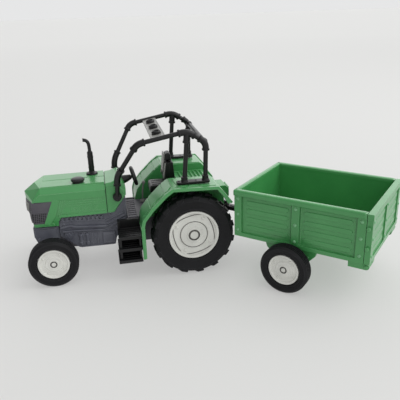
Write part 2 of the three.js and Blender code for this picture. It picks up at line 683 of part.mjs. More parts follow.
const drawbar = () => {
  const under = boxBottom - gap;
  const z0 = hitchZ - eyeThick / 2;
  const z1 = hitchZ + eyeThick / 2;
  const eye = post(3, 0, 0, z0, z1, 20);
  const arm = block(1.5, boxFrontX - 1.4, -2.4, 2.4, z0, z1);
  const foot = sideCut([[boxFrontX - 3.6, z0], [boxFrontX + 1, under - 3], [boxFrontX + 16, under - 3],
    [boxFrontX + 16, under], [boxFrontX + gap + 0.6, under], [boxFrontX - 0.6, under + 1],
    [boxFrontX - 0.6, z1], [boxFrontX - 3.6, z1]], -4.2, 4.2);
  const bore = post(hitchPinR + running, 0, 0, z0 - 5, z1 + 5);
  return piece("trailer_drawbar", cut(joined(eye, arm, foot), bore), blackPlastic);
};

const hingeX = boxRearX + gap + gateThick / 2;
const hingeZ = boxBottom - hingeDrop;
const bracketY0 = boxHalf - 7.1;
const bracketY1 = boxHalf - 1.5;
const knuckleY0 = bracketY0 - 4.2;
const knuckleY1 = bracketY0 - gap;
const hingeBracket = (name, side) => {
  const top = boxBottom - gap;
  const foot = block(boxRearX - 8, boxRearX - 0.4, bracketY0, bracketY1, hingeZ - knuckleR, top);
  const arm = block(boxRearX - 0.6, hingeX, bracketY0, bracketY1, hingeZ - knuckleR, hingeZ + knuckleR - 0.2);
  const ear = axleRod(knuckleR, hingeX, hingeZ, bracketY0, bracketY1);
  const bore = axleRod(hingePinR + gap, hingeX, hingeZ, bracketY0 - 1, bracketY1 + 1, 12);
  return piece(name, onSide(cut(joined(foot, arm, ear), bore), side), greenPlastic);
};

const gateX0 = boxRearX + gap;
const gateBottom = hingeZ + knuckleR + gap + 0.2;
const tailgate = () => {
  const x1 = gateX0 + gateThick;
  const board = block(gateX0, x1, -boxHalf + 0.4, boxHalf - 0.4, gateBottom, boxTop - 0.2);
  const frame = [
    block(gateX0, x1 + 1, -boxHalf, boxHalf, boxTop - rimTall, boxTop),
    block(gateX0, x1 + 0.8, -boxHalf + 0.4, boxHalf - 0.4, gateBottom, gateBottom + 2.4),
    ...[-boxHalf + 0.4, -2.3, boxHalf - 5].map((y) =>
      block(gateX0, x1 + 0.8, y, y + 4.6, gateBottom, boxTop - 1)),
  ];
  const knuckles = [];
  for (const side of [-1, 1]) {
    const y0 = side < 0 ? -knuckleY1 : knuckleY0;
    const y1 = y0 + knuckleY1 - knuckleY0;
    knuckles.push(axleRod(knuckleR, hingeX, hingeZ, y0, y1));
    knuckles.push(block(hingeX - 0.8, x1 + 0.6, y0, y1, hingeZ, gateBottom + 1));
  }
  const pegs = [boxTop - 18.9, boxTop - 7.9].map((z) =>
    axleRod(0.9, gateX0 + gateThick / 2, z, -boxHalf - 0.9, boxHalf + 0.9, 10));
  const bore = axleRod(hingePinR + running, hingeX, hingeZ, -boxHalf, boxHalf, 12);
  return piece("tailgate", cut(joined(board, ...frame, ...knuckles, ...pegs), bore), greenPlastic);
};

const hingePin = (name, side) =>
  piece(name, onSide(axleRod(hingePinR, hingeX, hingeZ, knuckleY0 - 0.6, bracketY1 + 0.4, 12), side), steel);

// ---------- assembly ----------
const tractor = new THREE.Group();
tractor.add(
  engineBlock(), frontBolster(), frontAxleBeam(), gearboxCase(), rearAxleCase(), hood(), grilleInsert(),
  cowl(), airCleanerCap(), exhaustStack(), cabFloor(), rearDeck(), ...seat(), gearLever(),
  steeringParts(), cageCrossbar(), lightPanel(), hitchClevis(), hitchPin(),
);
for (const [word, side] of sides) {
  tractor.add(
    headlight(`headlight_${word}`, side), stepLadder(`step_${word}`, side), fender(`fender_${word}`, side),
    cageSide(`cage_side_${word}`, side),
  );
}
tractor.add(
  axleSet("rear", rearWheel, rearAxleR, rearDish, 0, rearTyre),
  axleSet("front", frontWheel, smallAxleR, smallDish, -wheelbase, () => tyreRing(frontWheel, 0)),
);

const trailer = new THREE.Group();
trailer.position.x = hitchX;
trailer.rotation.z = trailerYaw;
trailer.add(trailerBox(), drawbar(), tailgate());
for (const [word, side] of sides) {
  trailer.add(
    trailerSkirt(`trailer_skirt_${word}`, side), hingeBracket(`gate_bracket_${word}`, side),
    hingePin(`gate_pin_${word}`, side),
  );
}
trailer.add(axleSet("trailer", trailerWheel, smallAxleR, smallDish, trailerAxleX,
  () => tyreRing(trailerWheel, 0)));

const model = new THREE.Group();
model.add(tractor, trailer);

// the origin goes to the middle of the footprint, on the ground
model.updateMatrixWorld(true);
const bounds = new THREE.Box3().setFromObject(model, true);
model.position.set(-(bounds.min.x + bounds.max.x) / 2, -(bounds.min.y + bounds.max.y) / 2, -bounds.min.z);

export default model;
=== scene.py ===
import json
import math

import bmesh
import bpy
from mathutils import Matrix, Vector
from mathutils.geometry import interpolate_bezier


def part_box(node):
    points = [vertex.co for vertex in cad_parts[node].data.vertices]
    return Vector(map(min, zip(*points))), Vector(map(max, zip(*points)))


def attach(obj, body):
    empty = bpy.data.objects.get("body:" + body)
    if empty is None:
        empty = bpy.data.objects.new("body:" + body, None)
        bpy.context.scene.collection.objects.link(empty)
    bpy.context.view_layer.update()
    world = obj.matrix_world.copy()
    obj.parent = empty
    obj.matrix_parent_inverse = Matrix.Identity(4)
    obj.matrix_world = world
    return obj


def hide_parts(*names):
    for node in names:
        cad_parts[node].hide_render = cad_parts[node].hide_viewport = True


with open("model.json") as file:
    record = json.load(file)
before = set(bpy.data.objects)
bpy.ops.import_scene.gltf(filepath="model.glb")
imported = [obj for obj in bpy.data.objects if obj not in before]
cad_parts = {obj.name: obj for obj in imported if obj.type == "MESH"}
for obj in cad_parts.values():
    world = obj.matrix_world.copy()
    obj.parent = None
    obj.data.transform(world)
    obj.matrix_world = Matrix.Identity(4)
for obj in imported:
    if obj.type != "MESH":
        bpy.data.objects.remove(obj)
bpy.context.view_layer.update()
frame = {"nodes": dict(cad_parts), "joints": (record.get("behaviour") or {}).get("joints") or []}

print("frame loaded with", len(frame["nodes"]), "CAD nodes")

# places: pieces are drawn in millimetres from the rear axle, or from the hitch pin
mm = 0.001
axleLow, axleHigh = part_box("rear_axle")
axleMid = (axleLow + axleHigh) / 2
tractorPlace = Matrix.Translation((axleMid.x, axleMid.y, 0)) @ Matrix.Scale(mm, 4)
joints = {joint["name"]: joint for joint in frame["joints"]}
hitchAt = joints["hitch_yaw"]["pos_m"]
wheelAxis = joints["trailer_wheels_spin"]["axis"]
trailerTurn = math.atan2(-wheelAxis[0], wheelAxis[1])
trailerPlace = (
    Matrix.Translation((hitchAt[0], hitchAt[1], 0))
    @ Matrix.Rotation(trailerTurn, 4, "Z")
    @ Matrix.Scale(mm, 4)
)


def fromHitch(joint):
    # how far behind the hitch pin a joint stands
    reach = Vector(joints[joint]["pos_m"][:2]) - Vector(hitchAt[:2])
    return reach.length / mm


trailerAxle = fromHitch("trailer_wheels_spin")
gateHinge = fromHitch("tailgate_swing")
sides = (("left", -1), ("right", 1))


# finishes
class Wire:  # one socket that plain arithmetic can use
    def __init__(self, finish, socket):
        self.finish = finish
        self.socket = socket

    def maths(self, operation, first, second):
        return self.finish.node("ShaderNodeMath", {"operation": operation}, {0: first, 1: second})

    def __add__(self, other):
        return self.maths("ADD", self, other)

    def __sub__(self, other):
        return self.maths("SUBTRACT", self, other)

    def __rsub__(self, other):
        return self.maths("SUBTRACT", other, self)

    def __mul__(self, other):
        return self.maths("MULTIPLY", self, other)

    __radd__ = __add__
    __rmul__ = __mul__


class Finish:
    def __init__(self, tree):
        self.tree = tree
        self.tree.nodes.clear()

    def node(self, kind, settings=None, sockets=None, out=0):
        made = self.tree.nodes.new(kind)
        for key, value in (settings or {}).items():
            setattr(made, key, value)
        for key, value in (sockets or {}).items():
            if isinstance(value, Wire):
                self.tree.links.new(value.socket, made.inputs[key])
            else:
                made.inputs[key].default_value = value
        return Wire(self, made.outputs[out]) if len(made.outputs) else made

    def noise(self, where, scale, detail=3.0):
        return self.node("ShaderNodeTexNoise", None, {"Vector": where, "Scale": scale, "Detail": detail})

    def blend(self, amount, first, second):
        settings = {"data_type": "RGBA", "clamp_factor": True}
        return self.node("ShaderNodeMix", settings, {0: amount, 6: first, 7: second}, 2)

    def span(self, value, low, high, toLow=0.0, toHigh=1.0):
        sockets = {0: value, 1: low, 2: high, 3: toLow, 4: toHigh}
        return self.node("ShaderNodeMapRange", {"clamp": True}, sockets)


def newMaterial(name):
    material = bpy.data.materials.new(name)
    material.use_nodes = True
    return material


def linear(red, green, blue):
    def channel(value):
        value = value / 255
        return value / 12.92 if value <= 0.04045 else ((value + 0.055) / 1.055) ** 2.4

    return (channel(red), channel(green), channel(blue), 1.0)


# colours are 0-255; sizes of the patterns are in millimetres
# the paler edge colour of each finish is partly rubbed wear and partly a painted highlight along the edges
finishLooks = {
    "green": {
        "base": (70, 152, 84), "shade": (62, 143, 77), "wornAndHighlit": (164, 210, 168), "rough": 0.36,
        "swing": 0.10, "coat": 0.55, "spec": 0.5, "blotch": 22, "grain": 0.55, "bump": 0.10,
    },
    # rivet green: the body green painted paler, as a painted highlight on the rivet heads
    "rivetHighlightGreen": {
        "base": (116, 178, 128), "shade": (106, 168, 118), "wornAndHighlit": (160, 208, 168), "rough": 0.34,
        "swing": 0.08, "coat": 0.5, "spec": 0.5, "blotch": 9, "grain": 0.5, "bump": 0.08,
    },
    "grey": {
        "base": (103, 105, 114), "shade": (84, 86, 97), "wornAndHighlit": (182, 184, 194), "rough": 0.44,
        "swing": 0.16, "coat": 0.05, "spec": 0.45, "blotch": 9, "grain": 0.45, "bump": 0.22,
    },
    "dark": {
        "base": (92, 90, 96), "shade": (79, 77, 84), "wornAndHighlit": (130, 128, 134), "rough": 0.5,
        "swing": 0.14, "coat": 0.0, "spec": 0.4, "blotch": 12, "grain": 0.4, "bump": 0.25,
    },
    "black": {
        "base": (12, 12, 14), "shade": (8, 8, 9), "wornAndHighlit": (42, 42, 46), "rough": 0.36,
        "swing": 0.14, "coat": 0.1, "spec": 0.4, "blotch": 15, "grain": 0.5, "bump": 0.14,
    },
    "light": {
        "base": (140, 140, 136), "shade": (126, 126, 122), "wornAndHighlit": (176, 176, 172), "rough": 0.42,
        "swing": 0.12, "coat": 0.1, "spec": 0.5, "blotch": 12, "grain": 0.5, "bump": 0.12,
    },
    "rim": {
        "base": (226, 226, 220), "shade": (213, 213, 207), "wornAndHighlit": (243, 243, 240), "rough": 0.4,
        "swing": 0.12, "coat": 0.15, "coatRough": 0.35, "spec": 0.5, "blotch": 9, "grain": 0.5, "bump": 0.1,
    },
    # ring: dark grey painted into the rims' grooves as painted shade; the rims' thin arcs take it too
    "ring": {
        "base": (112, 110, 106), "shade": (92, 90, 88), "wornAndHighlit": (150, 148, 144), "rough": 0.55,
        "swing": 0.1, "coat": 0.0, "spec": 0.4, "blotch": 6, "grain": 0.4, "bump": 0.1,
    },
    "rubber": {
        "base": (24, 24, 27), "shade": (17, 17, 19), "wornAndHighlit": (82, 82, 86), "rough": 0.6,
        "swing": 0.16, "coat": 0.0, "spec": 0.28, "blotch": 14, "grain": 0.35, "bump": 0.3,
    },
    "steel": {
        "base": (168, 168, 172), "shade": (136, 136, 142), "wornAndHighlit": (206, 206, 210), "rough": 0.32,
        "swing": 0.2, "coat": 0.0, "spec": 0.5, "blotch": 5, "grain": 0.3, "bump": 0.2,
    },
}


# what every moulded surface shares: paler edges (partly rubbed wear, partly a painted highlight), drawn
# streaks and the depth of its skin
surface = {
    "edge": 0.25, "wearAndHighlightFrom": 0.02, "wearAndHighlightTo": 0.16, "wearAndHighlightAmount": 0.7, "stretch": (40.0, 40.0, 900.0), "streak": 0.3,
    "depth": 0.06, "coatRough": 0.3, "ior": 1.48,
}


def moulding(name, look, metal=0.0):
    # a moulded surface: soft blotches, a fine skin, faint drawn streaks, and paler edges that are partly
    # rubbed wear and partly a painted highlight
    material = newMaterial(name)
    made = Finish(material.node_tree)
    where = made.node("ShaderNodeTexCoord", None, None, 3)
    blotch = made.noise(where, 1 / (look["blotch"] * mm), 4.0)
    grain = made.noise(where, 1 / (look["grain"] * mm), 2.0)
    drawn = made.node("ShaderNodeMapping", None, {0: where, 3: surface["stretch"]})
    streak = made.noise(drawn, 4.0, 2.0)
    body = made.blend(made.span(blotch, 0.35, 0.65), linear(*look["base"]), linear(*look["shade"]))
    rounded = made.node("ShaderNodeBevel", {"samples": 4}, {"Radius": surface["edge"] * mm})
    facing = made.node("ShaderNodeNewGeometry", None, None, 1)
    alike = made.node("ShaderNodeVectorMath", {"operation": "DOT_PRODUCT"}, {0: rounded, 1: facing}, 1)
    patchy = made.span(blotch, 0.3, 0.6, 0.35, 0.9)
    # edges turn paler: partly rubbed wear, partly a painted highlight along them
    wearAndHighlight = made.span(1 - alike, surface["wearAndHighlightFrom"], surface["wearAndHighlightTo"]) * patchy
    colour = made.blend(wearAndHighlight * surface["wearAndHighlightAmount"], body, linear(*look["wornAndHighlit"]))
    rough = (
        look["rough"]
        + (blotch - 0.5) * look["swing"]
        + (grain - 0.5) * (look["swing"] * 0.8)
        + (streak - 0.5) * 0.05
    )
    skin = made.node(
        "ShaderNodeBump",
        None,
        {
            "Strength": look["bump"],
            "Distance": surface["depth"] * mm,
            "Height": grain + streak * surface["streak"],
        },
    )
    shader = made.node(
        "ShaderNodeBsdfPrincipled",
        None,
        {
            "Base Color": colour,
            "Roughness": rough,
            "Normal": skin,
            "Metallic": metal,
            "Coat Weight": look["coat"],
            "Coat Roughness": look.get("coatRough", surface["coatRough"]),
            "Specular IOR Level": look["spec"],
            "IOR": surface["ior"],
        },
    )
    made.node("ShaderNodeOutputMaterial", None, {"Surface": shader})
    return material


finishes = {
    name: moulding(name + "Finish", look, 1.0 if name == "steel" else 0.0)
    for name, look in finishLooks.items()
}
print("finishes made:", len(finishes))


# modelling helpers: each makes a small closed shape and puts it into a piece
def soften(part, width, segments=2, limit=30):
    bmesh.ops.recalc_face_normals(part, faces=part.faces)
    edges = [edge for edge in part.edges if edge.calc_face_angle(0) > math.radians(limit)]
    if width and edges:
        bmesh.ops.bevel(
            part, geom=edges, offset=width, offset_type="OFFSET", segments=segments, profile=0.5,
            affect="EDGES", clamp_overlap=True, material=-1,
        )


def put(piece, part, place=Matrix()):
    bmesh.ops.transform(part, matrix=place, verts=part.verts)
    mesh = bpy.data.meshes.new("part")
    part.to_mesh(mesh)
    piece.from_mesh(mesh)
    bpy.data.meshes.remove(mesh)
    part.free()


def addBlock(piece, spanX, spanY, spanZ, soft=0.15, place=Matrix()):
    part = bmesh.new()
    middle = [(low + high) / 2 for low, high in (spanX, spanY, spanZ)]
    size = [abs(high - low) for low, high in (spanX, spanY, spanZ)]
    bmesh.ops.create_cube(part, size=1, matrix=Matrix.Translation(middle) @ Matrix.Diagonal((*size, 1)))
    soften(part, soft)
    put(piece, part, place)


def addSlab(piece, corners, lift, soft=0.12, place=Matrix()):
    # a flat outline in space, thickened by the lift vector
    part = bmesh.new()
    face = part.faces.new([part.verts.new(corner) for corner in corners])
    grown = bmesh.ops.extrude_face_region(part, geom=[face], use_keep_orig=True)["geom"]
    bmesh.ops.translate(
        part, vec=Vector(lift), verts=[item for item in grown if isinstance(item, bmesh.types.BMVert)]
    )
    soften(part, soft)
    put(piece, part, place)


def addSide(piece, outline, low, high, soft=0.12, place=Matrix()):
    # an outline seen from the side, thickened across the object
    addSlab(piece, [(x, low, z) for x, z in outline], (0, high - low, 0), soft, place)


def addPlan(piece, outline, low, high, soft=0.12, place=Matrix()):
    addSlab(piece, [(x, y, low) for x, y in outline], (0, 0, high - low), soft, place)


def addStrip(piece, start, end, width, low, high, soft=0.1, place=Matrix()):
    # a thin bar between two points of the side view
    along = (Vector(end) - Vector(start)).normalized() * (width / 2)
    across = Vector((-along.y, along.x))
    outline = [Vector(start) - across, Vector(end) - across, Vector(end) + across, Vector(start) + across]
    addSide(piece, outline, low, high, soft, place)


def addRod(piece, radius, start, end, segments=16, tip=None, soft=0.0, place=Matrix()):
    part = bmesh.new()
    start, end = Vector(start), Vector(end)
    turn = (end - start).to_track_quat("Z", "Y").to_matrix().to_4x4()
    bmesh.ops.create_cone(
        part, cap_ends=True, segments=segments, radius1=radius, radius2=radius if tip is None else tip,
        depth=(end - start).length, matrix=Matrix.Translation((start + end) / 2) @ turn,
    )
    soften(part, soft, limit=50)
    put(piece, part, place)


def addDome(piece, radius, at, toward, flat=0.6, place=Matrix(), mark=0):
    # a rivet or screw head, half sunk in its panel
    part = bmesh.new()
    turn = Vector(toward).to_track_quat("Z", "Y").to_matrix().to_4x4()
    shape = Matrix.Translation(at) @ turn @ Matrix.Diagonal((radius, radius, radius * flat, 1))
    bmesh.ops.create_uvsphere(part, u_segments=14, v_segments=8, radius=1, matrix=shape)
    for face in part.faces:
        face.material_index = mark
    put(piece, part, place)


def roundedRoute(corners, reach, steps=6):
    corners = [Vector(corner) for corner in corners]
    points = [corners[0]]
    for before, corner, after in zip(corners, corners[1:], corners[2:]):
        start = corner + (before - corner).normalized() * reach
        end = corner + (after - corner).normalized() * reach
        nearStart = start.lerp(corner, 0.62)
        nearEnd = end.lerp(corner, 0.62)
        points += interpolate_bezier(start, nearStart, nearEnd, end, steps)
    return points + [corners[-1]]


def addTube(piece, points, radius, place=Matrix(), fineness=6, mark=0):
    curve = bpy.data.curves.new("route", "CURVE")
    curve.dimensions = "3D"
    curve.bevel_depth = radius
    curve.bevel_resolution = fineness
    curve.use_fill_caps = True
    line = curve.splines.new("POLY")
    line.points.add(len(points) - 1)
    for point, at in zip(line.points, points):
        point.co = (*at, 1)
    holder = bpy.data.objects.new("route", curve)
    mesh = bpy.data.meshes.new_from_object(holder)
    part = bmesh.new()
    part.from_mesh(mesh)
    bmesh.ops.remove_doubles(part, verts=part.verts, dist=0.001)
    bpy.data.objects.remove(holder)
    bpy.data.meshes.remove(mesh)
    bpy.data.curves.remove(curve)
    bmesh.ops.recalc_face_normals(part, faces=part.faces)
    for face in part.faces:
        face.material_index = mark
    put(piece, part, place)


def addTurned(piece, profile, segments=48, ring=False, place=Matrix(), marked=()):
    # a profile of (radius, height) points spun round Y; marked edges of it get the second finish
    part = bmesh.new()
    verts = [part.verts.new((radius, height, 0)) for radius, height in profile]
    pairs = list(zip(verts, verts[1:])) + ([(verts[-1], verts[0])] if ring else [])
    edges = [part.edges.new(pair) for pair in pairs]
    bmesh.ops.spin(
        part, geom=verts + edges, cent=(0, 0, 0), axis=(0, 1, 0), dvec=(0, 0, 0),
        angle=2 * math.pi, steps=segments, use_merge=True, use_duplicate=False,
    )
    bmesh.ops.remove_doubles(part, verts=part.verts, dist=0.0005)
    bmesh.ops.recalc_face_normals(part, faces=part.faces)
    for face in part.faces:
        middle = face.calc_center_median()
        radius = math.hypot(middle.x, middle.z)
        if any(low < radius < high and middle.y > floor for low, high, floor in marked):
            face.material_index = 1
    put(piece, part, place)


def cadCopy(node, place, soft=0.25, limit=30):
    # the CAD node's own shape, merged, with its flat faces whole again and its edges eased
    piece = bmesh.new()
    piece.from_mesh(frame["nodes"][node].data)
    bmesh.ops.transform(piece, matrix=place.inverted(), verts=piece.verts)
    bmesh.ops.remove_doubles(piece, verts=piece.verts, dist=0.003)
    bmesh.ops.dissolve_limit(
        piece, angle_limit=math.radians(0.8), verts=piece.verts, edges=piece.edges
    )
    edges = [edge for edge in piece.edges if edge.calc_face_angle(0) > math.radians(limit)]
    if soft and edges:
        bmesh.ops.bevel(
            piece, geom=edges, offset=soft, offset_type="OFFSET", segments=2, profile=0.5,
            affect="EDGES", clamp_overlap=True, material=-1,
        )
    return piece


def finishPiece(name, piece, place, body, finish, stands=(), second=None, sharp=38):
    bmesh.ops.transform(piece, matrix=place, verts=piece.verts)
    mesh = bpy.data.meshes.new(name)
    piece.to_mesh(mesh)
    piece.free()
    mesh.shade_smooth()
    mesh.set_sharp_from_angle(angle=math.radians(sharp))
    mesh.materials.append(finishes[finish])
    if second:
        mesh.materials.append(finishes[second])
    made = bpy.data.objects.new(name, mesh)
    bpy.context.scene.collection.objects.link(made)
    weighted = made.modifiers.new("even shading", "WEIGHTED_NORMAL")
    weighted.keep_sharp = True
    weighted.weight = 60
    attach(made, body)
    if stands:
        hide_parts(*([stands] if isinstance(stands, str) else stands))


def tractorPiece(name, piece, finish, stands=(), sharp=38):
    finishPiece(name, piece, tractorPlace, "tractor", finish, stands, sharp=sharp)


# hood
nosePoints = [
    (-91.1, 14.2, 48.9), (-96.8, 0, 51.0), (-92.9, 13.8, 37.5), (-91.6, 13.2, 31.8), (-95.6, 0, 42.0),
    (-94.0, 0, 31.8), (-76.0, 14.2, 48.9), (-76.0, 14.2, 31.0),
]

# the nose's front facets: distance along the object = first + second * |y| + third * z
noseFacets = ((-104.09, 0.4226, 0.143), (-90.0, 0.1522, -0.1333), (-89.01, 0.1444, -0.1569))


def noseAt(y, z, proud=0.0):
    # how far forward the V-shaped nose reaches, for a place on it
    return max(first + second * abs(y) + third * z for first, second, third in noseFacets) - proud


def addNoseChunk(piece, proud, low, high, rearAt, rearward):
    # a slice of the nose's own shape, a little larger than the hood
    skin = bmesh.new()
    for x, y, z in nosePoints:
        for hand in (-1, 1):
            skin.verts.new((x - proud, hand * (y + proud if y else 0), z))
    bmesh.ops.remove_doubles(skin, verts=skin.verts, dist=0.01)
    hull = bmesh.ops.convex_hull(skin, input=skin.verts)
    loose = [item for item in hull["geom_interior"] if isinstance(item, bmesh.types.BMVert)]
    bmesh.ops.delete(skin, geom=loose, context="VERTS")
    for at, away in (((0, 0, high), (0, 0, 1)), ((0, 0, low), (0, 0, -1)), (rearAt, rearward)):
        everything = skin.verts[:] + skin.edges[:] + skin.faces[:]
        bmesh.ops.bisect_plane(skin, geom=everything, plane_co=at, plane_no=away, clear_outer=True)
        bmesh.ops.holes_fill(skin, edges=[edge for edge in skin.edges if edge.is_boundary], sides=0)
    soften(skin, 0.25)
    put(piece, skin)


hoodLook = {
    "side": 14.2, "proud": 0.42, "seam": -49.3, "skirt": 37.0, "lip": 38.5,
    "bandLow": 47.7, "bandHigh": 52.1, "bandFront": -90.6,
    "ribs": (46.5, 45.1, 43.8), "ribFront": -73.6, "ribRear": -50.6,
    "vents": 10, "ventFront": -69.6, "ventPitch": 1.62, "ventLow": 40.2, "ventHigh": 42.6,
    "crown": 55.98, "crownHalf": 12.0,
}


def makeHood(look):
    hood = cadCopy("hood", tractorPlace, 0.25, 12)
    for _, hand in sides:
        root = hand * (look["side"] - 0.5)
        face = hand * (look["side"] + look["proud"])
        low = hand * (look["side"] + look["proud"] * 0.5)
        band = [
            (look["bandFront"], look["bandLow"] + 0.6), (look["bandFront"] + 1.0, look["bandLow"]),
            (look["seam"], look["bandLow"]), (look["seam"], look["bandHigh"]), (-86.9, look["bandHigh"]),
        ]
        addSide(hood, band, root, face, 0.22)
        lip = [
            (-77.6, look["skirt"]), (look["seam"], look["skirt"]), (look["seam"], look["lip"]),
            (-77.2, look["lip"]),
        ]
        addSide(hood, lip, root, face, 0.18)
        strap = [(-80.2, 47.8), (-76.3, 47.8), (-79.0, 38.6), (-80.6, 36.6), (-82.8, 32.4), (-86.2, 33.8)]
        addSide(hood, strap, root, face + hand * 0.05, 0.2)
        for step in range(3):
            top = -75.2 + step * 1.15
            addStrip(hood, (top, 47.4), (top - 2.9, 38.7), 0.42, root, low)
        for height in look["ribs"]:
            addStrip(hood, (look["ribFront"], height), (look["ribRear"], height), 0.5, root, low)
        for step in range(look["vents"]):
            x = look["ventFront"] + step * look["ventPitch"]
            addStrip(hood, (x, look["ventLow"]), (x + 0.5, look["ventHigh"]), 0.8, root, low)
        addStrip(hood, (-76.0, 39.5), (look["ribRear"], 39.5), 0.35, root, low)
        addStrip(hood, (-91.4, 33.9), (-86.0, 33.7), 0.5, hand * 13.2, hand * 14.4)
        panel = [
            (-85.9, hand * 0.32), (look["seam"], hand * 0.32), (look["seam"], hand * look["crownHalf"]),
            (-86.1, hand * look["crownHalf"]),
        ]
        addPlan(hood, panel, 54.6, look["crown"], 0.25)
    addNoseChunk(hood, 0.35, 31.9, 34.0, (-80.6, 0, 33.0), (1, 0, 0))
    tractorPiece("hood_shell", hood, "green", "hood", sharp=16)


makeHood(hoodLook)

# grille behind the hood's openings, and the headlights
grilleLook = {
    "proud": 0.22, "low": 34.1, "high": 47.5, "sill": 41.3, "side": 14.2,
    "rearHigh": (-79.9, 47.6), "rearLow": (-86.2, 33.9), "bars": 6, "pitch": 1.1, "uprights": 8,
}


def makeGrille(look):
    grille = cadCopy("grille_insert", tractorPlace, 0.15)
    topX, topZ = look["rearHigh"]
    lowX, lowZ = look["rearLow"]
    rearward = (topZ - lowZ, 0, lowX - topX)
    addNoseChunk(grille, look["proud"], look["low"], look["high"], (topX, 0, topZ), rearward)
    for _, hand in sides:
        root = hand * (look["side"] - 0.3)
        face = hand * (look["side"] + 0.5)
        addStrip(grille, (-92.0, look["sill"]), (-83.2, look["sill"]), 0.55, root, face)
        addStrip(grille, (-91.4, look["low"] + 0.4), (-86.4, look["low"] + 0.4), 0.6, root, face - hand * 0.2)
        for step in range(look["bars"]):
            height = look["low"] + 1.0 + step * look["pitch"]
            rear = lowX + (topX - lowX) * (height - lowZ) / (topZ - lowZ)
            addStrip(grille, (-91.9, height), (rear - 0.3, height), 0.3, root, face - hand * 0.1)
        for step in range(look["uprights"]):
            x = -91.6 + step * 1.15
            lean = (x + 1.1 - lowX) * 1.6
            low = max(look["low"] + 0.4, look["low"] + lean)
            addStrip(grille, (x, low), (x + 0.5, look["sill"]), 0.3, root, face - hand * 0.1)
        for step in range(look["bars"] + 5):
            height = look["low"] + 1.0 + step * look["pitch"]
            ends = (13.4, 10.6) if height > look["sill"] - 1 else (13.4, 7.0, 0.0)
            bar = [(noseAt(y, height, 0.6), hand * y) for y in ends]
            bar += [(noseAt(y, height, -0.4), hand * y) for y in reversed(ends)]
            addPlan(grille, bar, height, height + 0.35, 0.1)
    front = noseAt(3.0, 44.0, 0.7)
    rear = noseAt(3.0, 44.0, -0.6)
    shield = [(front, -3.0), (noseAt(0, 44.0, 0.9), 0), (front, 3.0), (rear, 3.0), (rear, -3.0)]
    addPlan(grille, shield, 41.4, 46.2, 0.25)
    tractorPiece("grille", grille, "dark", "grille_insert")


makeGrille(grilleLook)
backing = bmesh.new()
backingLine = [(-92.0, 34.6), (-86.4, 34.6), (-83.6, 40.9), (-92.5, 40.9)]
for _, hand in sides:
    addSide(backing, backingLine, hand * 13.6, hand * 14.5, 0.1)
tractorPiece("grille_backing", backing, "black")

lampLook = {"inner": 3.8, "bend": 7.0, "outer": 10.2, "low": 40.9, "high": 46.1, "proud": 0.95, "flutes": 7}


def makeHeadlight(word, hand, look):
    lamp = bmesh.new()
    spanY = (look["inner"], look["bend"], look["outer"])
    front = [(noseAt(y, 43.5, look["proud"]), hand * y) for y in spanY]
    back = [(noseAt(y, 43.5, -0.6), hand * y) for y in reversed(spanY)]
    addPlan(lamp, front + back, look["low"], look["high"], 0.25)
    for step in range(look["flutes"]):
        y = look["inner"] + 0.6 + step * (look["outer"] - look["inner"] - 1.2) / (look["flutes"] - 1)
        x = noseAt(y, 43.5, look["proud"] - 0.1)
        addRod(lamp, 0.32, (x, hand * y, look["low"] + 0.5), (x, hand * y, look["high"] - 0.5), 10)
    name = "headlight_" + word
    tractorPiece(name + "_lens", lamp, "light", name)


for word, hand in sides:
    makeHeadlight(word, hand, lampLook)

# cowl
cowl = cadCopy("cowl", tractorPlace, 0.35)
cowlPanel = [
    (-48.2, 38.3), (-45.8, 38.3), (-42.0, 42.3), (-38.7, 47.9), (-38.5, 50.8), (-41.6, 53.3), (-48.2, 53.0),
]
for _, hand in sides:
    addSide(cowl, cowlPanel, hand * 13.7, hand * 14.42, 0.22)
addBlock(cowl, (-38.4, -36.95), (-9.0, 9.0), (47.6, 50.4), 0.25)
tractorPiece("cowl_shell", cowl, "green", "cowl")
# a black block in the gap between hood and cowl, as painted shade along the seam
seam = bmesh.new()
addBlock(seam, (-49.7, -48.5), (-13.8, 13.8), (37.6, 52.0), 0.3)
addBlock(seam, (-49.7, -48.5), (-12.0, 12.0), (51.0, 55.0), 0.3)
tractorPiece("seam_shade_block", seam, "black")

# engine and front bolster
engineLook = {
    "side": 12.4, "tubeY": 13.0, "teeth": 10, "toothFront": -76.6, "toothPitch": 2.55,
    "cover": (-53.4, -45.4, 16.6, 24.2), "filters": (-66.3, -62.5),
    "bolts": ((-70.3, 26.2), (-55.8, 34.9), (-47.6, 35.6), (-44.2, 27.4), (-41.0, 29.8), (-75.4, 31.6)),
}


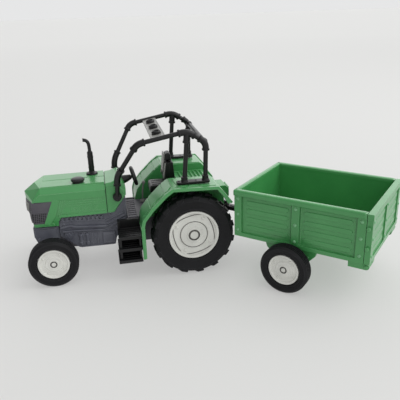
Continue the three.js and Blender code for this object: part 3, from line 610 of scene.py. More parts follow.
def makeEngine(look):
    engine = cadCopy("engine_block", tractorPlace, 0.3)
    for _, hand in sides:
        skin = look["side"]
        root = hand * (skin - 0.5)
        tube = hand * look["tubeY"]
        addStrip(engine, (-77.2, 34.0), (-51.6, 32.6), 1.0, root, hand * (skin + 0.7), 0.2)
        for step in range(look["teeth"]):
            x = look["toothFront"] + step * look["toothPitch"]
            lift = -0.05 * step
            addBlock(engine, (x, x + 1.5), (root, hand * (skin + 1.05)),
                     (33.6 + lift, 36.3 + lift * 2), 0.3)
        upper = [
            (-77.4, tube, 29.6), (-71.6, tube, 30.7), (-69.4, tube, 29.6), (-50.6, tube, 28.2),
            (-48.6, hand * 11.6, 28.0),
        ]
        lower = [(-76.6, tube, 27.0), (-68.8, tube, 27.0), (-52.8, tube, 26.0), (-50.0, hand * 11.6, 25.6)]
        for route, radius in ((upper, 0.72), (lower, 0.6)):
            addTube(engine, roundedRoute(route, 1.2), radius, fineness=4)
        for step in range(3):
            low, high = (-51.0 + step * 1.1, 31.6 - step * 2.1), (-39.6 + step * 0.5, 36.0 - step * 2.0)
            addStrip(engine, low, high, 1.05, root, hand * (skin + 0.95), 0.3)
        cover = look["cover"]
        addBlock(engine, cover[:2], (root, hand * (skin + 1.1)), cover[2:], 0.7)
        addBlock(engine, (cover[0] + 1.1, cover[1] - 1.1), (root, hand * (skin + 1.4)),
                 (cover[2] + 1.1, cover[3] - 1.1), 0.4)
        for x in (cover[0] + 0.7, cover[1] - 0.7):
            for z in (cover[2] + 0.7, cover[3] - 0.7):
                addDome(engine, 0.42, (x, hand * (skin + 1.1), z), (0, hand, 0))
        for x in look["filters"]:
            y = hand * (skin - 0.2)
            addRod(engine, 1.35, (x, y, 17.0), (x, y, 24.6), 18, soft=0.25)
            for z in (18.2, 23.2):
                addRod(engine, 1.6, (x, y, z), (x, y, z + 0.9), 18, soft=0.2)
        for x in (-60.0, -58.0, -56.0):
            addStrip(engine, (x, 17.0), (x, 24.4), 0.8, root, hand * (skin + 0.6), 0.2)
        addStrip(engine, (-66.8, 15.9), (-46.8, 15.7), 0.7, root, hand * (skin + 0.5), 0.2)
        addStrip(engine, (-68.8, 25.3), (-45.2, 25.0), 0.5, root, hand * (skin + 0.45), 0.15)
        addRod(engine, 2.5, (-73.2, root, 24.6), (-73.2, hand * (skin + 0.8), 24.6), 24, soft=0.3)
        addRod(engine, 1.2, (-73.2, root, 24.6), (-73.2, hand * (skin + 1.3), 24.6), 16, soft=0.25)
        for x, z in look["bolts"]:
            addDome(engine, 0.62, (x, hand * (skin + 0.05), z), (0, hand, 0))
        addStrip(engine, (-44.6, 36.2), (-38.4, 45.6), 0.5, root, hand * (skin + 0.5), 0.15)
        addStrip(engine, (-38.3, 31.4), (-38.3, 45.8), 0.7, root, hand * (skin + 0.6), 0.2)
    for step in range(7):
        x = -66 + step * 2.8
        addBlock(engine, (x, x + 0.8), (-9.5, 9.5), (14.7, 15.5), 0.15)
    tractorPiece("engine_casting", engine, "grey", "engine_block")


makeEngine(engineLook)
bolster = cadCopy("front_bolster", tractorPlace, 0.35)
for _, hand in sides:
    bolsterPanel = [(-92.4, 25.0), (-90.8, 21.8), (-80.0, 21.8), (-80.0, 29.6), (-92.4, 29.6)]
    addSide(bolster, bolsterPanel, hand * 11.2, hand * 12.2, 0.3)
    addStrip(bolster, (-92.2, 30.5), (-79.0, 30.5), 0.6, hand * 11.2, hand * 12.5, 0.15)
    for x in (-90.6, -82.0):
        addDome(bolster, 0.6, (x, hand * 12.2, 23.4), (0, hand, 0))
addBlock(bolster, (-93.95, -93.0), (-8.5, 8.5), (26.2, 29.8), 0.3)
addBlock(bolster, (-94.2, -93.6), (-2.2, 2.2), (26.9, 29.1), 0.2)
tractorPiece("bolster", bolster, "grey", "front_bolster")
# the support under the engine front is the engine's grey, given the darker finish as painted shade where it
# stands in shadow
support = bmesh.new()
supportLine = [(-79.2, 25.2), (-76.4, 16.4), (-68.0, 15.6), (-64.6, 15.6), (-64.6, 25.2)]
addSide(support, supportLine, -11.2, 11.2, 0.4)
for _, hand in sides:
    for x in (-75.0, -71.6, -68.2):
        addBlock(support, (x, x + 1.3), (hand * 11.0, hand * 11.7), (16.8, 24.6), 0.3)
tractorPiece("front_support", support, "dark")
beam = cadCopy("front_axle_beam", tractorPlace, 0.4)
for _, hand in sides:
    addRod(beam, 3.4, (-82.4, hand * 17.6, 14.3), (-82.4, hand * 21.2, 14.3), 24, soft=0.4)
    addSide(beam, [(-84.4, 16.8), (-80.4, 16.8), (-81.6, 17.9), (-83.2, 17.9)], hand * 7, hand * 17, 0.2)
tractorPiece("front_beam", beam, "grey", "front_axle_beam")
gearbox = cadCopy("gearbox_case", tractorPlace, 0.5)
for x in (-34.5, -28.5, -22.5, -16.5):
    addBlock(gearbox, (x, x + 1.2), (-10.1, 10.1), (14.4, 31.2), 0.3)
tractorPiece("gearbox", gearbox, "dark", "gearbox_case")
rearCase = cadCopy("rear_axle_case", tractorPlace, 0.5)
for _, hand in sides:
    for y in (13.0, 16.0, 19.0):
        addTurned(rearCase, [(4.4, -0.5), (5.5, -0.5), (5.5, 0.5), (4.4, 0.5)], 28, True,
                  Matrix.Translation((0, hand * y, 25)))
    for x, z in ((-10, 18), (-10, 28), (16.5, 18), (16.5, 32)):
        addDome(rearCase, 0.9, (x, hand * 11, z), (0, hand, 0))
tractorPiece("rear_case", rearCase, "dark", "rear_axle_case")

# exhaust and air cleaner
capX, capY, capZ = -64.5, -8.0, 55.9
cap = bmesh.new()
upright = Matrix.Rotation(math.pi / 2, 4, "X")
capProfile = [
    (0, 0), (3.4, 0), (3.3, 0.7), (3.75, 1.1), (3.95, 1.35), (3.95, 2.1), (3.7, 2.4), (2.9, 2.8), (1.2, 3.0),
    (0, 3.0),
]
addTurned(cap, capProfile, 40, False, Matrix.Translation((capX, capY, capZ)) @ upright)
ridges = 14
for step in range(ridges):
    angle = step * 2 * math.pi / ridges
    spot = (capX + 3.82 * math.cos(angle), capY + 3.82 * math.sin(angle))
    addRod(cap, 0.22, (*spot, capZ + 1.3), (*spot, capZ + 2.2), 8)
tractorPiece("air_cleaner", cap, "black", "air_cleaner_cap")

stackX, stackY, stackZ = -56.2, 6.5, 55.9
stack = bmesh.new()
stackProfile = [
    (0, 0), (3.5, 0), (3.5, 0.7), (3.2, 1.1), (2.2, 1.35), (1.72, 1.9), (1.72, 13.9), (1.4, 14.5), (0, 14.5),
]
stackPlace = Matrix.Translation((stackX, stackY, stackZ)) @ upright
addTurned(stack, stackProfile, 32, False, stackPlace)
stackRoute = [Vector((stackX, stackY, stackZ + 13))] + interpolate_bezier(
    Vector((stackX, stackY, stackZ + 15)), Vector((stackX, stackY, stackZ + 19.6)),
    Vector((stackX - 0.2, stackY, stackZ + 21.5)), Vector((stackX - 3.3, stackY, stackZ + 21.8)), 14)
addTube(stack, stackRoute, 1.05, fineness=6)
addTurned(stack, [(0.8, -0.2), (1.15, -0.2), (1.15, 0.3), (0.8, 0.3)], 24, True,
          Matrix.Translation((stackX - 3.2, stackY, stackZ + 21.8)) @ Matrix.Rotation(math.pi / 2, 4, "Z"))
for height in (4.0, 10.8):
    band = [(1.4, height), (1.86, height), (1.86, height + 0.6), (1.4, height + 0.6)]
    addTurned(stack, band, 28, True, stackPlace)
tractorPiece("exhaust", stack, "black", "exhaust_stack")
print("nose, engine and stack made")

# cab floor, steps, seat, lever
cabFloor = cadCopy("cab_floor", tractorPlace, 0.2)
for step in range(8):
    y = -11.9 + step * 3.4
    addBlock(cabFloor, (-36.6, -31.6), (y - 0.55, y + 0.55), (33.2, 33.75), 0.15)
for _, hand in sides:
    addBlock(cabFloor, (-37.1, -30.9), (hand * 16.1, hand * 16.9), (33.1, 34.0), 0.15)
tractorPiece("floor_mat", cabFloor, "dark", "cab_floor")

for word, hand in sides:
    steps = cadCopy("step_" + word, tractorPlace, 0.15)
    for height, more in ((28, 0), (20.6, 0.4), (13.4, 0.8)):
        for ridge in range(5):
            y = 19.6 + ridge * 2.7
            addBlock(steps, (-43.6 - more, -31.6), (hand * y, hand * (y + 0.8)),
                     (height - 0.1, height + 0.32), 0.1)
        addBlock(steps, (-44.1 - more, -31.1), (hand * (32.4 + more), hand * (33.1 + more)),
                 (height - 1.7, height + 0.3), 0.2)
    tractorPiece("steps_" + word, steps, "black", "step_" + word)

tractorPiece("seat_pedestal", cadCopy("seat_base", tractorPlace, 0.6), "black", "seat_base")
cushion = cadCopy("seat_cushion", tractorPlace, 1.0)
for y in (-3.4, 0, 3.4):
    addBlock(cushion, (-20.4, -8.4), (y - 1.45, y + 1.45), (48.2, 49.35), 0.5)
tractorPiece("seat_pad", cushion, "black", "seat_cushion")
tractorPiece("seat_back", cadCopy("seat_backrest", tractorPlace, 0.8), "black", "seat_backrest")
backShell = bmesh.new()
addSide(backShell, [(-9.6, 49.9), (-5.9, 49.9), (-6.9, 62.9), (-9.4, 62.9)], -6.9, 6.9, 0.5)
for z in (52.4, 55.2, 58.0, 60.8):
    addBlock(backShell, (-13.0 + (z - 50) * 0.05, -11.6), (-5.4, 5.4), (z - 1.0, z + 1.0), 0.45)
tractorPiece("seat_shell", backShell, "black")
tractorPiece("head_pad", cadCopy("seat_headrest", tractorPlace, 0.7), "black", "seat_headrest")
trim = bmesh.new()
for _, hand in sides:
    addStrip(trim, (-13.1, 53.0), (-11.6, 62.6), 0.7, hand * 5.5, hand * 6.7, 0.25)
addStrip(trim, (-13.0, 56.5), (-11.7, 67.8), 0.8, -3.7, 3.7, 0.3)
tractorPiece("seat_trim", trim, "light")

lever = bmesh.new()
addRod(lever, 1.9, (-26, 8.4, 33.7), (-26, 8.4, 35.0), 20, tip=1.4, soft=0.2)
leverRoute = roundedRoute([(-26, 8.4, 34.2), (-25.6, 8.4, 41.0), (-24.6, 8.4, 46.2)], 2.0)
addTube(lever, leverRoute, 0.5, fineness=4)
addDome(lever, 1.2, (-24.6, 8.4, 46.7), (0, 0, 1), 1.0)
tractorPiece("lever", lever, "light", "gear_lever")

# steering wheel
steering = {"tube": 1.15, "ring": 5.2, "spokes": 3}
wheelTilt = math.atan2(3.2, 11.6)
steerPlace = tractorPlace @ Matrix.Translation((-31, 0, 54.4)) @ Matrix.Rotation(-wheelTilt, 4, "Y")
steerWheel = bmesh.new()
ringProfile = [
    (steering["ring"] + steering["tube"] * math.cos(step * math.pi / 6),
     steering["tube"] * math.sin(step * math.pi / 6))
    for step in range(12)
]
alongX = Matrix.Rotation(-math.pi / 2, 4, "Z")
addTurned(steerWheel, ringProfile, 48, True, alongX)
hubProfile = [(0, -0.9), (1.5, -0.9), (1.7, -0.2), (1.5, 0.7), (0.8, 1.0), (0, 1.0)]
addTurned(steerWheel, hubProfile, 28, False, alongX)
for step in range(steering["spokes"]):
    turn = Matrix.Rotation(step * 2 * math.pi / steering["spokes"], 4, "X")
    addSlab(steerWheel, [(-0.3, -0.75, 0.9), (-0.3, 0.75, 0.9), (-0.3, 0.5, 5.3), (-0.3, -0.5, 5.3)],
            (0.6, 0, 0), 0.18, turn)
finishPiece("steering_rim", steerWheel, steerPlace, "steering", "black", "steering_wheel")
column = bmesh.new()
addRod(column, 0.9, (-5.7, 0, 0), (-1.3, 0, 0), 20, soft=0.15)
addRod(column, 2.7, (-7.4, 0, 0), (-4.6, 0, 0), 24, tip=2.3, soft=0.3)
addRod(column, 2.3, (-4.9, 0, 0), (-1.6, 0, 0), 24, tip=1.4, soft=0.3)
finishPiece("column", column, steerPlace, "tractor", "black", "steering_column")

# fenders and rear deck
fenderLook = {
    "outside": [
        (-30.3, 14.2), (-30.3, 34.6), (-29.3, 38.2), (-24.3, 44.6), (-16.2, 52.4), (-12.0, 55.4),
        (14.6, 54.5), (18.3, 50.0), (22.6, 44.4),
    ],
    "edge": 36.2, "lipWide": 1.7, "lipProud": 0.55, "panel": 0.45, "inner": 15.4,
}


def shifted(points, distance):
    # the same line moved to its left by the distance
    moved = []
    for index, point in enumerate(points):
        before = Vector(points[max(index - 1, 0)])
        after = Vector(points[min(index + 1, len(points) - 1)])
        here = Vector(point)
        turns = [(here - before).normalized(), (after - here).normalized()]
        turns = [turn for turn in turns if turn.length > 0.5]
        bisector = sum((Vector((-turn.y, turn.x)) for turn in turns), Vector((0, 0))).normalized()
        reach = distance / max(bisector.dot(Vector((-turns[0].y, turns[0].x))), 0.5)
        moved.append(here + bisector * reach)
    return moved


def onFacet(start, end, hand, corners, sink=0.5):
    # corners given as (distance along the facet, distance across), as points just under its skin
    start, end = Vector(start), Vector(end)
    along = (end - start).normalized()
    inward = Vector((along.y, -along.x)) * sink
    return [
        ((start + along * u + inward).x, hand * y, (start + along * u + inward).y) for u, y in corners
    ]


def makeFender(word, hand, look):
    fender = cadCopy("fender_" + word, tractorPlace, 0.3)
    line = look["outside"]
    lip = shifted(line, look["lipProud"]) + list(reversed(shifted(line, -0.9)))
    lipRoot = hand * (look["edge"] - look["lipWide"])
    lipFace = hand * (look["edge"] + 0.25)
    for (a, b), (c, d) in zip(zip(lip[:9], lip[1:9]), zip(lip[::-1][:9], lip[::-1][1:9])):
        addSide(fender, [a, b, d, c], lipRoot, lipFace, 0.0)
    rise = look["panel"] + 0.5
    inner = look["inner"]
    facets = [
        (line[2], line[3], [(0.8, inner), (0.8, 31.4), (3.0, 31.4), (4.2, 33.0), (7.6, 33.0), (7.6, inner)]),
        (line[3], line[4], [
            (0.6, inner), (0.6, 33.0), (3.0, 33.0), (4.4, 31.2), (6.6, 31.2), (8.0, 33.0), (10.8, 33.0),
            (10.8, inner),
        ]),
        (line[4], line[5], [(0.4, inner), (0.4, 33.0), (2.6, 33.0), (3.8, 31.2), (4.9, 31.2), (4.9, inner)]),
        (line[5], line[6], [(0.3, inner), (0.3, 33.2), (2.9, 33.2), (3.2, 30.6), (1.3, 18.2), (4.9, inner)]),
        (line[5], line[6], [
            (5.7, inner), (2.1, 18.4), (4.0, 30.7), (3.7, 33.2), (26.0, 33.2), (26.0, inner),
        ]),
    ]
    for start, end, corners in facets:
        along = (Vector(end) - Vector(start)).normalized()
        addSlab(fender, onFacet(start, end, hand, corners), (-along.y * rise, 0, along.x * rise), 0.16)
    for low, high, y in ((10.2, 14.6, 31.6), (17.0, 21.4, 31.6), (5.4, 8.2, 31.9)):
        corners = [(low, y - 0.7), (low, y + 0.9), (high, y + 0.9), (high, y - 0.7)]
        addSlab(fender, onFacet(line[5], line[6], hand, corners, -0.2), (0, 0, 0.6), 0.15)
    for z in (18.0, 24.0, 30.0):
        addBlock(fender, (-30.75, -30.0), (hand * 17.0, hand * 33.2), (z - 0.3, z + 0.3), 0.12)
    tractorPiece("fender_guard_" + word, fender, "green", "fender_" + word)


for word, hand in sides:
    makeFender(word, hand, fenderLook)

deck = cadCopy("rear_deck", tractorPlace, 0.15)
for step in range(7):
    x = -2.6 + step * 2.45
    louvre = [(x, 49.7), (x + 1.5, 49.7), (x + 1.5, 51.1), (x + 1.1, 51.1)]
    addSide(deck, louvre, -10.8, 10.8, 0.12)
addBlock(deck, (-4.0, 15.0), (-12.9, -11.7), (49.7, 50.8), 0.2)
addBlock(deck, (-4.0, 15.0), (11.7, 12.9), (49.7, 50.8), 0.2)
for z in (37.8, 40.2, 42.6):
    addBlock(deck, (27.8, 28.7), (-5.0, 5.0), (z - 0.5, z + 0.5), 0.2)
tractorPiece("deck", deck, "green", "rear_deck")
print("cab, fenders and deck made")

# roll cage
cageLook = {
    "tube": 1.36, "sleeve": 1.9, "collar": 2.25, "y": 27.6, "bend": 3.2,
    "foot": (-42.4, 17.2, 47.2), "shoulder": (-41.6, 18.8, 60.6), "frontTop": (-29.4, 81.2),
    "middle": (-1.0, 86.3), "rearTop": (9.6, 79.3), "rearFoot": (8.8, 56.5), "middleFoot": (-3.6, 56.5),
    "plate": (-8.3, 11.4), "plateHalf": 2.6, "plateTop": 57.2, "plateLow": 55.75,
}


def makeCage(word, hand, look):
    cage = bmesh.new()
    mirror = Matrix.Diagonal((1, hand, 1, 1))
    corners = [Vector(look["foot"]), Vector(look["shoulder"])]
    corners += [Vector((x, look["y"], z)) for x, z in (look["frontTop"], look["middle"], look["rearTop"],
                                                      look["rearFoot"])]
    addTube(cage, roundedRoute(corners, look["bend"], 8), look["tube"], mirror)
    for index, reach in ((1, 5.6), (2, 4.4), (3, 5.2), (4, 4.6)):
        corner = corners[index]
        back = corner + (corners[index - 1] - corner).normalized() * reach
        ahead = corner + (corners[index + 1] - corner).normalized() * reach
        addTube(cage, roundedRoute([back, corner, ahead], look["bend"], 8), look["sleeve"], mirror)
        for end in (back, ahead):
            inward = (corner - end).normalized()
            addRod(cage, look["collar"], end - inward * 0.1, end + inward * 1.0, 20, soft=0.25, place=mirror)
    y = look["y"]
    low, high = look["plate"]
    half = look["plateHalf"]
    plate = [(low + 1.1, y - half), (high - 1.1, y - half), (high - 0.3, y - half + 0.8), (high, y - 0.6),
             (high, y + 0.6), (high - 0.3, y + half - 0.8), (high - 1.1, y + half), (low + 1.1, y + half),
             (low + 0.3, y + half - 0.8), (low, y + 0.6), (low, y - 0.6), (low + 0.3, y - half + 0.8)]
    addPlan(cage, plate, look["plateLow"], look["plateTop"], 0.3, mirror)
    for x in (-6.9, 3.0, 10.4):
        addDome(cage, 0.55, (x, y, look["plateTop"]), (0, 0, 1), 0.6, mirror)
    top = Vector((look["middle"][0], y, look["middle"][1]))
    foot = Vector((look["middleFoot"][0], y, look["middleFoot"][1]))
    addTube(cage, [foot, top], look["tube"], mirror)
    upward = (top - foot).normalized()
    addRod(cage, look["sleeve"], top - upward * 6.4, top, 20, soft=0.25, place=mirror)
    addRod(cage, look["collar"], top - upward * 6.6, top - upward * 5.4, 20, soft=0.25, place=mirror)
    for base in (foot, corners[-1]):
        addRod(cage, look["sleeve"] + 0.35, base + Vector((0, 0, 0.3)), base + Vector((0, 0, 1.7)), 20,
               tip=look["sleeve"], soft=0.2, place=mirror)
        addRod(cage, look["sleeve"], base + Vector((0, 0, 1.2)), base + Vector((0, 0, 3.4)), 20, soft=0.3,
               place=mirror)
    footX, footZ = look["foot"][0], look["foot"][2]
    addRod(cage, 2.2, (footX, 14.5, footZ), (footX, 18.4, footZ), 24, soft=0.35, place=mirror)
    addRod(cage, 2.7, (footX, 14.5, footZ), (footX, 16.4, footZ), 24, soft=0.35, place=mirror)
    addRod(cage, 1.0, (footX, 18.2, footZ), (footX, 18.85, footZ), 16, soft=0.2, place=mirror)
    bmesh.ops.recalc_face_normals(cage, faces=cage.faces)
    tractorPiece("cage_" + word, cage, "black", "cage_side_" + word)


for word, hand in sides:
    makeCage(word, hand, cageLook)

crossbar = bmesh.new()
addRod(crossbar, 1.42, (9.3, -25.3, 79.1), (9.3, 25.3, 79.1), 20, soft=0.2)
for _, hand in sides:
    addRod(crossbar, 1.95, (9.3, hand * 22.6, 79.1), (9.3, hand * 25.3, 79.1), 20, soft=0.3)
tractorPiece("crossbar", crossbar, "black", "cage_crossbar")

panelSlope = math.atan2(86.3 - 81.2, -1.0 + 29.4)
panelPlace = tractorPlace @ Matrix.Translation((-16.9, 0, 83.44)) @ Matrix.Rotation(-panelSlope, 4, "Y")
lightPanel = bmesh.new()
addBlock(lightPanel, (-4.2, 4.2), (-25.8, 25.8), (-1.0, 0.15), 0.25)
for _, hand in sides:
    addBlock(lightPanel, (-4.2, 4.2), (hand * 25.8, hand * 24.6), (-1.0, 0.4), 0.2)
for low, high in ((-4.2, -3.5), (3.5, 4.2)):
    addBlock(lightPanel, (low, high), (-25.8, 25.8), (-1.0, 0.4), 0.2)
finishPiece("roof_panel", lightPanel, panelPlace, "tractor", "light", "light_panel")
lampProfile = [
    (0, 0.25), (2.75, 0.25), (2.75, 1.1), (2.55, 1.75), (2.2, 2.0), (1.9, 1.9), (1.7, 1.3), (0.9, 1.05),
    (0, 1.0),
]
for index, y in enumerate((-15.6, 0.0, 15.6)):
    roofLamp = bmesh.new()
    addTurned(roofLamp, lampProfile, 40, False, Matrix.Translation((0, y, 0)) @ upright)
    addBlock(roofLamp, (-1.8, 1.8), (y - 0.16, y + 0.16), (1.0, 1.5), 0.08)
    name = "roof_lamp_" + str(index + 1)
    finishPiece(name + "_cup", roofLamp, panelPlace, "tractor", "black", name)

# hitch
clevis = cadCopy("hitch_clevis", tractorPlace, 0.2)
for y in (-3.2, 3.2):
    addDome(clevis, 0.5, (21.6, y, 31.2), (0, 0, 1))
tractorPiece("clevis", clevis, "black", "hitch_clevis")
pin = bmesh.new()
pinProfile = [
    (0, -4.3), (0.9, -4.3), (1.2, -3.9), (1.2, 3.6), (2.0, 3.6), (2.1, 3.8), (2.1, 4.4), (1.8, 4.7), (0, 4.7),
]
addTurned(pin, pinProfile, 28, False, Matrix.Translation((27, 0, 28)) @ upright)
tractorPiece("coupling_pin", pin, "steel", "hitch_pin")
print("cage and hitch made")

# wheels, drawn with the outer face at y 0
rearLook = {
    "radius": 25.0, "width": 12.5, "rim": 15.0, "face": 34.5, "lugs": 15, "lean": 0.62,
    "lugWide": 1.85, "crown": 23.8,
}
frontLook = {"radius": 14.3, "width": 8.0, "rim": 9.1, "face": 30.2}
trailerLook = {"radius": 14.0, "width": 7.4, "rim": 8.9, "face": 39.0}
hubWall = 2.6
tyreSeat = 0.3  # how far a tyre's bead stands outside its rim


def chunkyTyre(look):
    tyre = bmesh.new()
    wide, rim, crown = look["width"], look["rim"] + tyreSeat, look["crown"]
    outer = [
        (rim, -0.9), (rim + 0.35, -0.45), (rim + 1.0, -0.3), (rim + 1.5, -0.55), (rim + 2.0, -0.35),
        (rim + 4.6, 0.0), (rim + 5.6, 0.0), (rim + 5.9, 0.22), (rim + 6.3, 0.22), (rim + 6.6, -0.05),
        (crown - 0.7, -0.45), (crown, -1.3),
    ]
    inner = [(radius, -wide - height) for radius, height in reversed(outer)]
    addTurned(tyre, outer + inner, 90, True)
    for row in (-1, 1):
        for step in range(look["lugs"]):
            part = bmesh.new()
            half = look["lugWide"]
            lean = math.tan(look["lean"])
            points = [
                (-half, 0.15), (half, 0.15), (half + 3.1 * lean * 0.8, 3.1), (half + 0.5 + 4.4 * lean, 6.2),
                (-half + 0.1 + 4.4 * lean, 6.2), (-half + 3.1 * lean * 0.8, 3.1),
            ]
            face = part.faces.new([part.verts.new((t, w * row, crown - 1.1)) for t, w in points])
            grown = bmesh.ops.extrude_face_region(part, geom=[face], use_keep_orig=True)["geom"]
            tops = [item for item in grown if isinstance(item, bmesh.types.BMVert)]
            bmesh.ops.translate(part, vec=(0, 0, look["radius"] - crown + 1.1), verts=tops)
            soften(part, 0.35)
            start = (step + (0 if row < 0 else 0.5)) * 2 * math.pi / look["lugs"]
            for vert in part.verts:
                reach = vert.co.z
                if abs(vert.co.y) > 5.2:
                    reach -= (abs(vert.co.y) - 5.2) * 0.75
                turn = start + row * vert.co.x / look["radius"]
                vert.co = (reach * math.sin(turn), vert.co.y - wide / 2, reach * math.cos(turn))
            bmesh.ops.recalc_face_normals(part, faces=part.faces)
            put(tyre, part)
    return tyre


def ribbedTyre(look):
    tyre = bmesh.new()
    wide, rim, top = look["width"], look["rim"] + tyreSeat, look["radius"]
    outer = [
        (rim, -0.9), (rim + 0.3, -0.4), (rim + 0.9, -0.2), (rim + 1.3, -0.4), (rim + 1.7, -0.1),
        (rim + 3.2, 0.0), (rim + 3.4, 0.18), (rim + 3.7, 0.18), (rim + 3.9, -0.1), (top - 0.25, -0.55),
        (top, -1.0),
    ]
    tread = []
    grooves = 4
    for step in range(grooves):
        middle = -1.0 - (wide - 2.0) * (step + 0.5) / grooves
        tread += [(top, middle + 0.42), (top - 0.85, middle + 0.26), (top - 0.85, middle - 0.26),
                  (top, middle - 0.42)]
    inner = [(radius, -wide - height) for radius, height in reversed(outer)]
    addTurned(tyre, outer + tread + inner, 72, True)
    return tyre


def bigRim(look, axle):
    rim = bmesh.new()
    wide, edge = look["width"], look["rim"]
    hub = axle + hubWall
    profile = [
        (0, -0.62), (1.2, -0.5), (2.2, -0.55), (2.45, -0.8), (2.55, -1.6), (3.4, -1.6), (3.5, -0.9),
        (4.1, -0.9), (4.5, -1.45), (7.3, -1.5), (7.7, -1.6), (7.95, -2.05), (8.4, -2.05), (8.6, -1.75),
        (8.9, -2.1), (12.6, -2.25), (edge - 1.9, -2.1),
        (edge - 1.4, -1.0), (edge - 1.0, -0.75), (edge - 0.2, -0.75),
        (edge, -1.0), (edge, 0.9 - wide), (edge - 1.3, 0.9 - wide), (edge - 1.3, -4.3), (hub, -4.3),
        (hub, 0.4 - wide), (axle + 0.3, 0.4 - wide), (axle + 0.3, -3.6), (0, -3.6),
    ]
    # the two marked grooves take the dark second finish, as painted shade in them
    addTurned(rim, profile, 96, False, marked=((2.47, 3.48, -2.0), (7.9, 8.45, -2.2)))
    out = (0, 1, 0)
    for step in range(4):
        angle = math.radians(30 + step * 90)
        ray = Vector((math.cos(angle), 0, math.sin(angle)))
        addDome(rim, 1.0, ray * 11.4 + Vector((0, -2.15, 0)), out, 0.85)
        middle = angle + math.pi / 4
        arc = []
        for point in range(13):
            turn = (point / 12 - 0.5) * math.radians(74)
            reach = edge - 1.75 - 1.25 * math.cos(turn / math.radians(74) * math.pi)
            arc.append(Vector((reach * math.cos(middle + turn), -2.28, reach * math.sin(middle + turn))))
        addTube(rim, arc, 0.3, fineness=2, mark=1)
    for step in range(8):
        angle = math.radians(12 + step * 45)
        at = Vector((5.75 * math.cos(angle), -1.45, 5.75 * math.sin(angle)))
        addDome(rim, 0.5, at, out, 0.7)
    return rim


def smallRim(look, axle):
    rim = bmesh.new()
    wide, edge = look["width"], look["rim"]
    hub = axle + hubWall
    profile = [
        (0, -0.6), (0.8, -0.5), (1.15, -0.55), (1.3, -0.8), (1.38, -1.3), (2.0, -1.3), (2.1, -0.75),
        (2.9, -0.8), (3.2, -1.1), (4.5, -1.1), (4.8, -1.4), (5.05, -1.6), (5.35, -1.6), (5.6, -1.4),
        (6.0, -1.6), (edge - 1.6, -1.65), (edge - 1.2, -0.9), (edge - 0.9, -0.7), (edge - 0.15, -0.7),
        (edge, -0.95),
        (edge, 0.9 - wide), (edge - 1.3, 0.9 - wide), (edge - 1.3, -3.7), (hub, -3.7), (hub, 0.4 - wide),
        (axle + 0.3, 0.4 - wide), (axle + 0.3, -2.8), (0, -2.8),
    ]
    # the marked groove takes the dark second finish, as painted shade in it
    addTurned(rim, profile, 72, False, marked=((1.32, 2.08, -1.4),))
    for step in range(4):
        angle = math.radians(32 + step * 90)
        at = Vector((6.55 * math.cos(angle), -1.55, 6.55 * math.sin(angle)))
        addDome(rim, 0.62, at, (0, 1, 0), 0.85)
    return rim


def mountWheels(prefix, look, axle, place, body, makeTyre, makeRim, x):
    for word, hand in sides:
        turn = Matrix.Rotation(math.pi, 4, "Z") if hand < 0 else Matrix()
        spot = place @ Matrix.Translation((x, hand * look["face"], look["radius"])) @ turn
        finishPiece(prefix + "_tread_" + word, makeTyre(look), spot, body, "rubber",
                    prefix + "_tyre_" + word)
        finishPiece(prefix + "_disc_" + word, makeRim(look, axle), spot, body, "rim",
                    prefix + "_rim_" + word, "ring")
    rod = bmesh.new()
    half = look["face"] - 4.2
    addRod(rod, axle, (x, -half, look["radius"]), (x, half, look["radius"]), 24, soft=0.2)
    finishPiece(prefix + "_shaft", rod, place, body, "steel", prefix + "_axle")


frontX = (joints["front_wheels_spin"]["pos_m"][0] - axleMid.x) / mm
mountWheels("rear", rearLook, 1.6, tractorPlace, "rear_wheels", chunkyTyre, bigRim, 0)
mountWheels("front", frontLook, 1.1, tractorPlace, "front_wheels", ribbedTyre, smallRim, frontX)
mountWheels("trailer", trailerLook, 1.1, trailerPlace, "trailer_wheels", ribbedTyre, smallRim, trailerAxle)
print("wheels made")

# trailer box
boxLook = {
    "front": 24.0, "middle": 59.1, "rear": gateHinge - 6.0, "post": 4.6, "half": 31.1, "wall": 29.4,
    "rail": (49.5, 53.3), "ribTall": 2.9, "ribProud": 0.5, "rivet": 0.95, "rivetRows": (48.0, 38.6, 28.9),
    "frontRibs": (46.0, 41.1, 36.0, 31.0), "rearRibs": (46.0, 40.6, 35.4, 30.3),
}


def addRib(piece, low, high, middle, tall, root, face, place=Matrix()):
    # a bar with round ends, pressed out of a panel
    half = tall / 2
    outline = []
    for centre, start in ((high - half, -90), (low + half, 90)):
        for step in range(9):
            angle = math.radians(start + step * 22.5)
            outline.append((centre + half * math.cos(angle), middle + half * math.sin(angle)))
    addSide(piece, outline, root, face, min(0.4, abs(face - root) * 0.6), place)


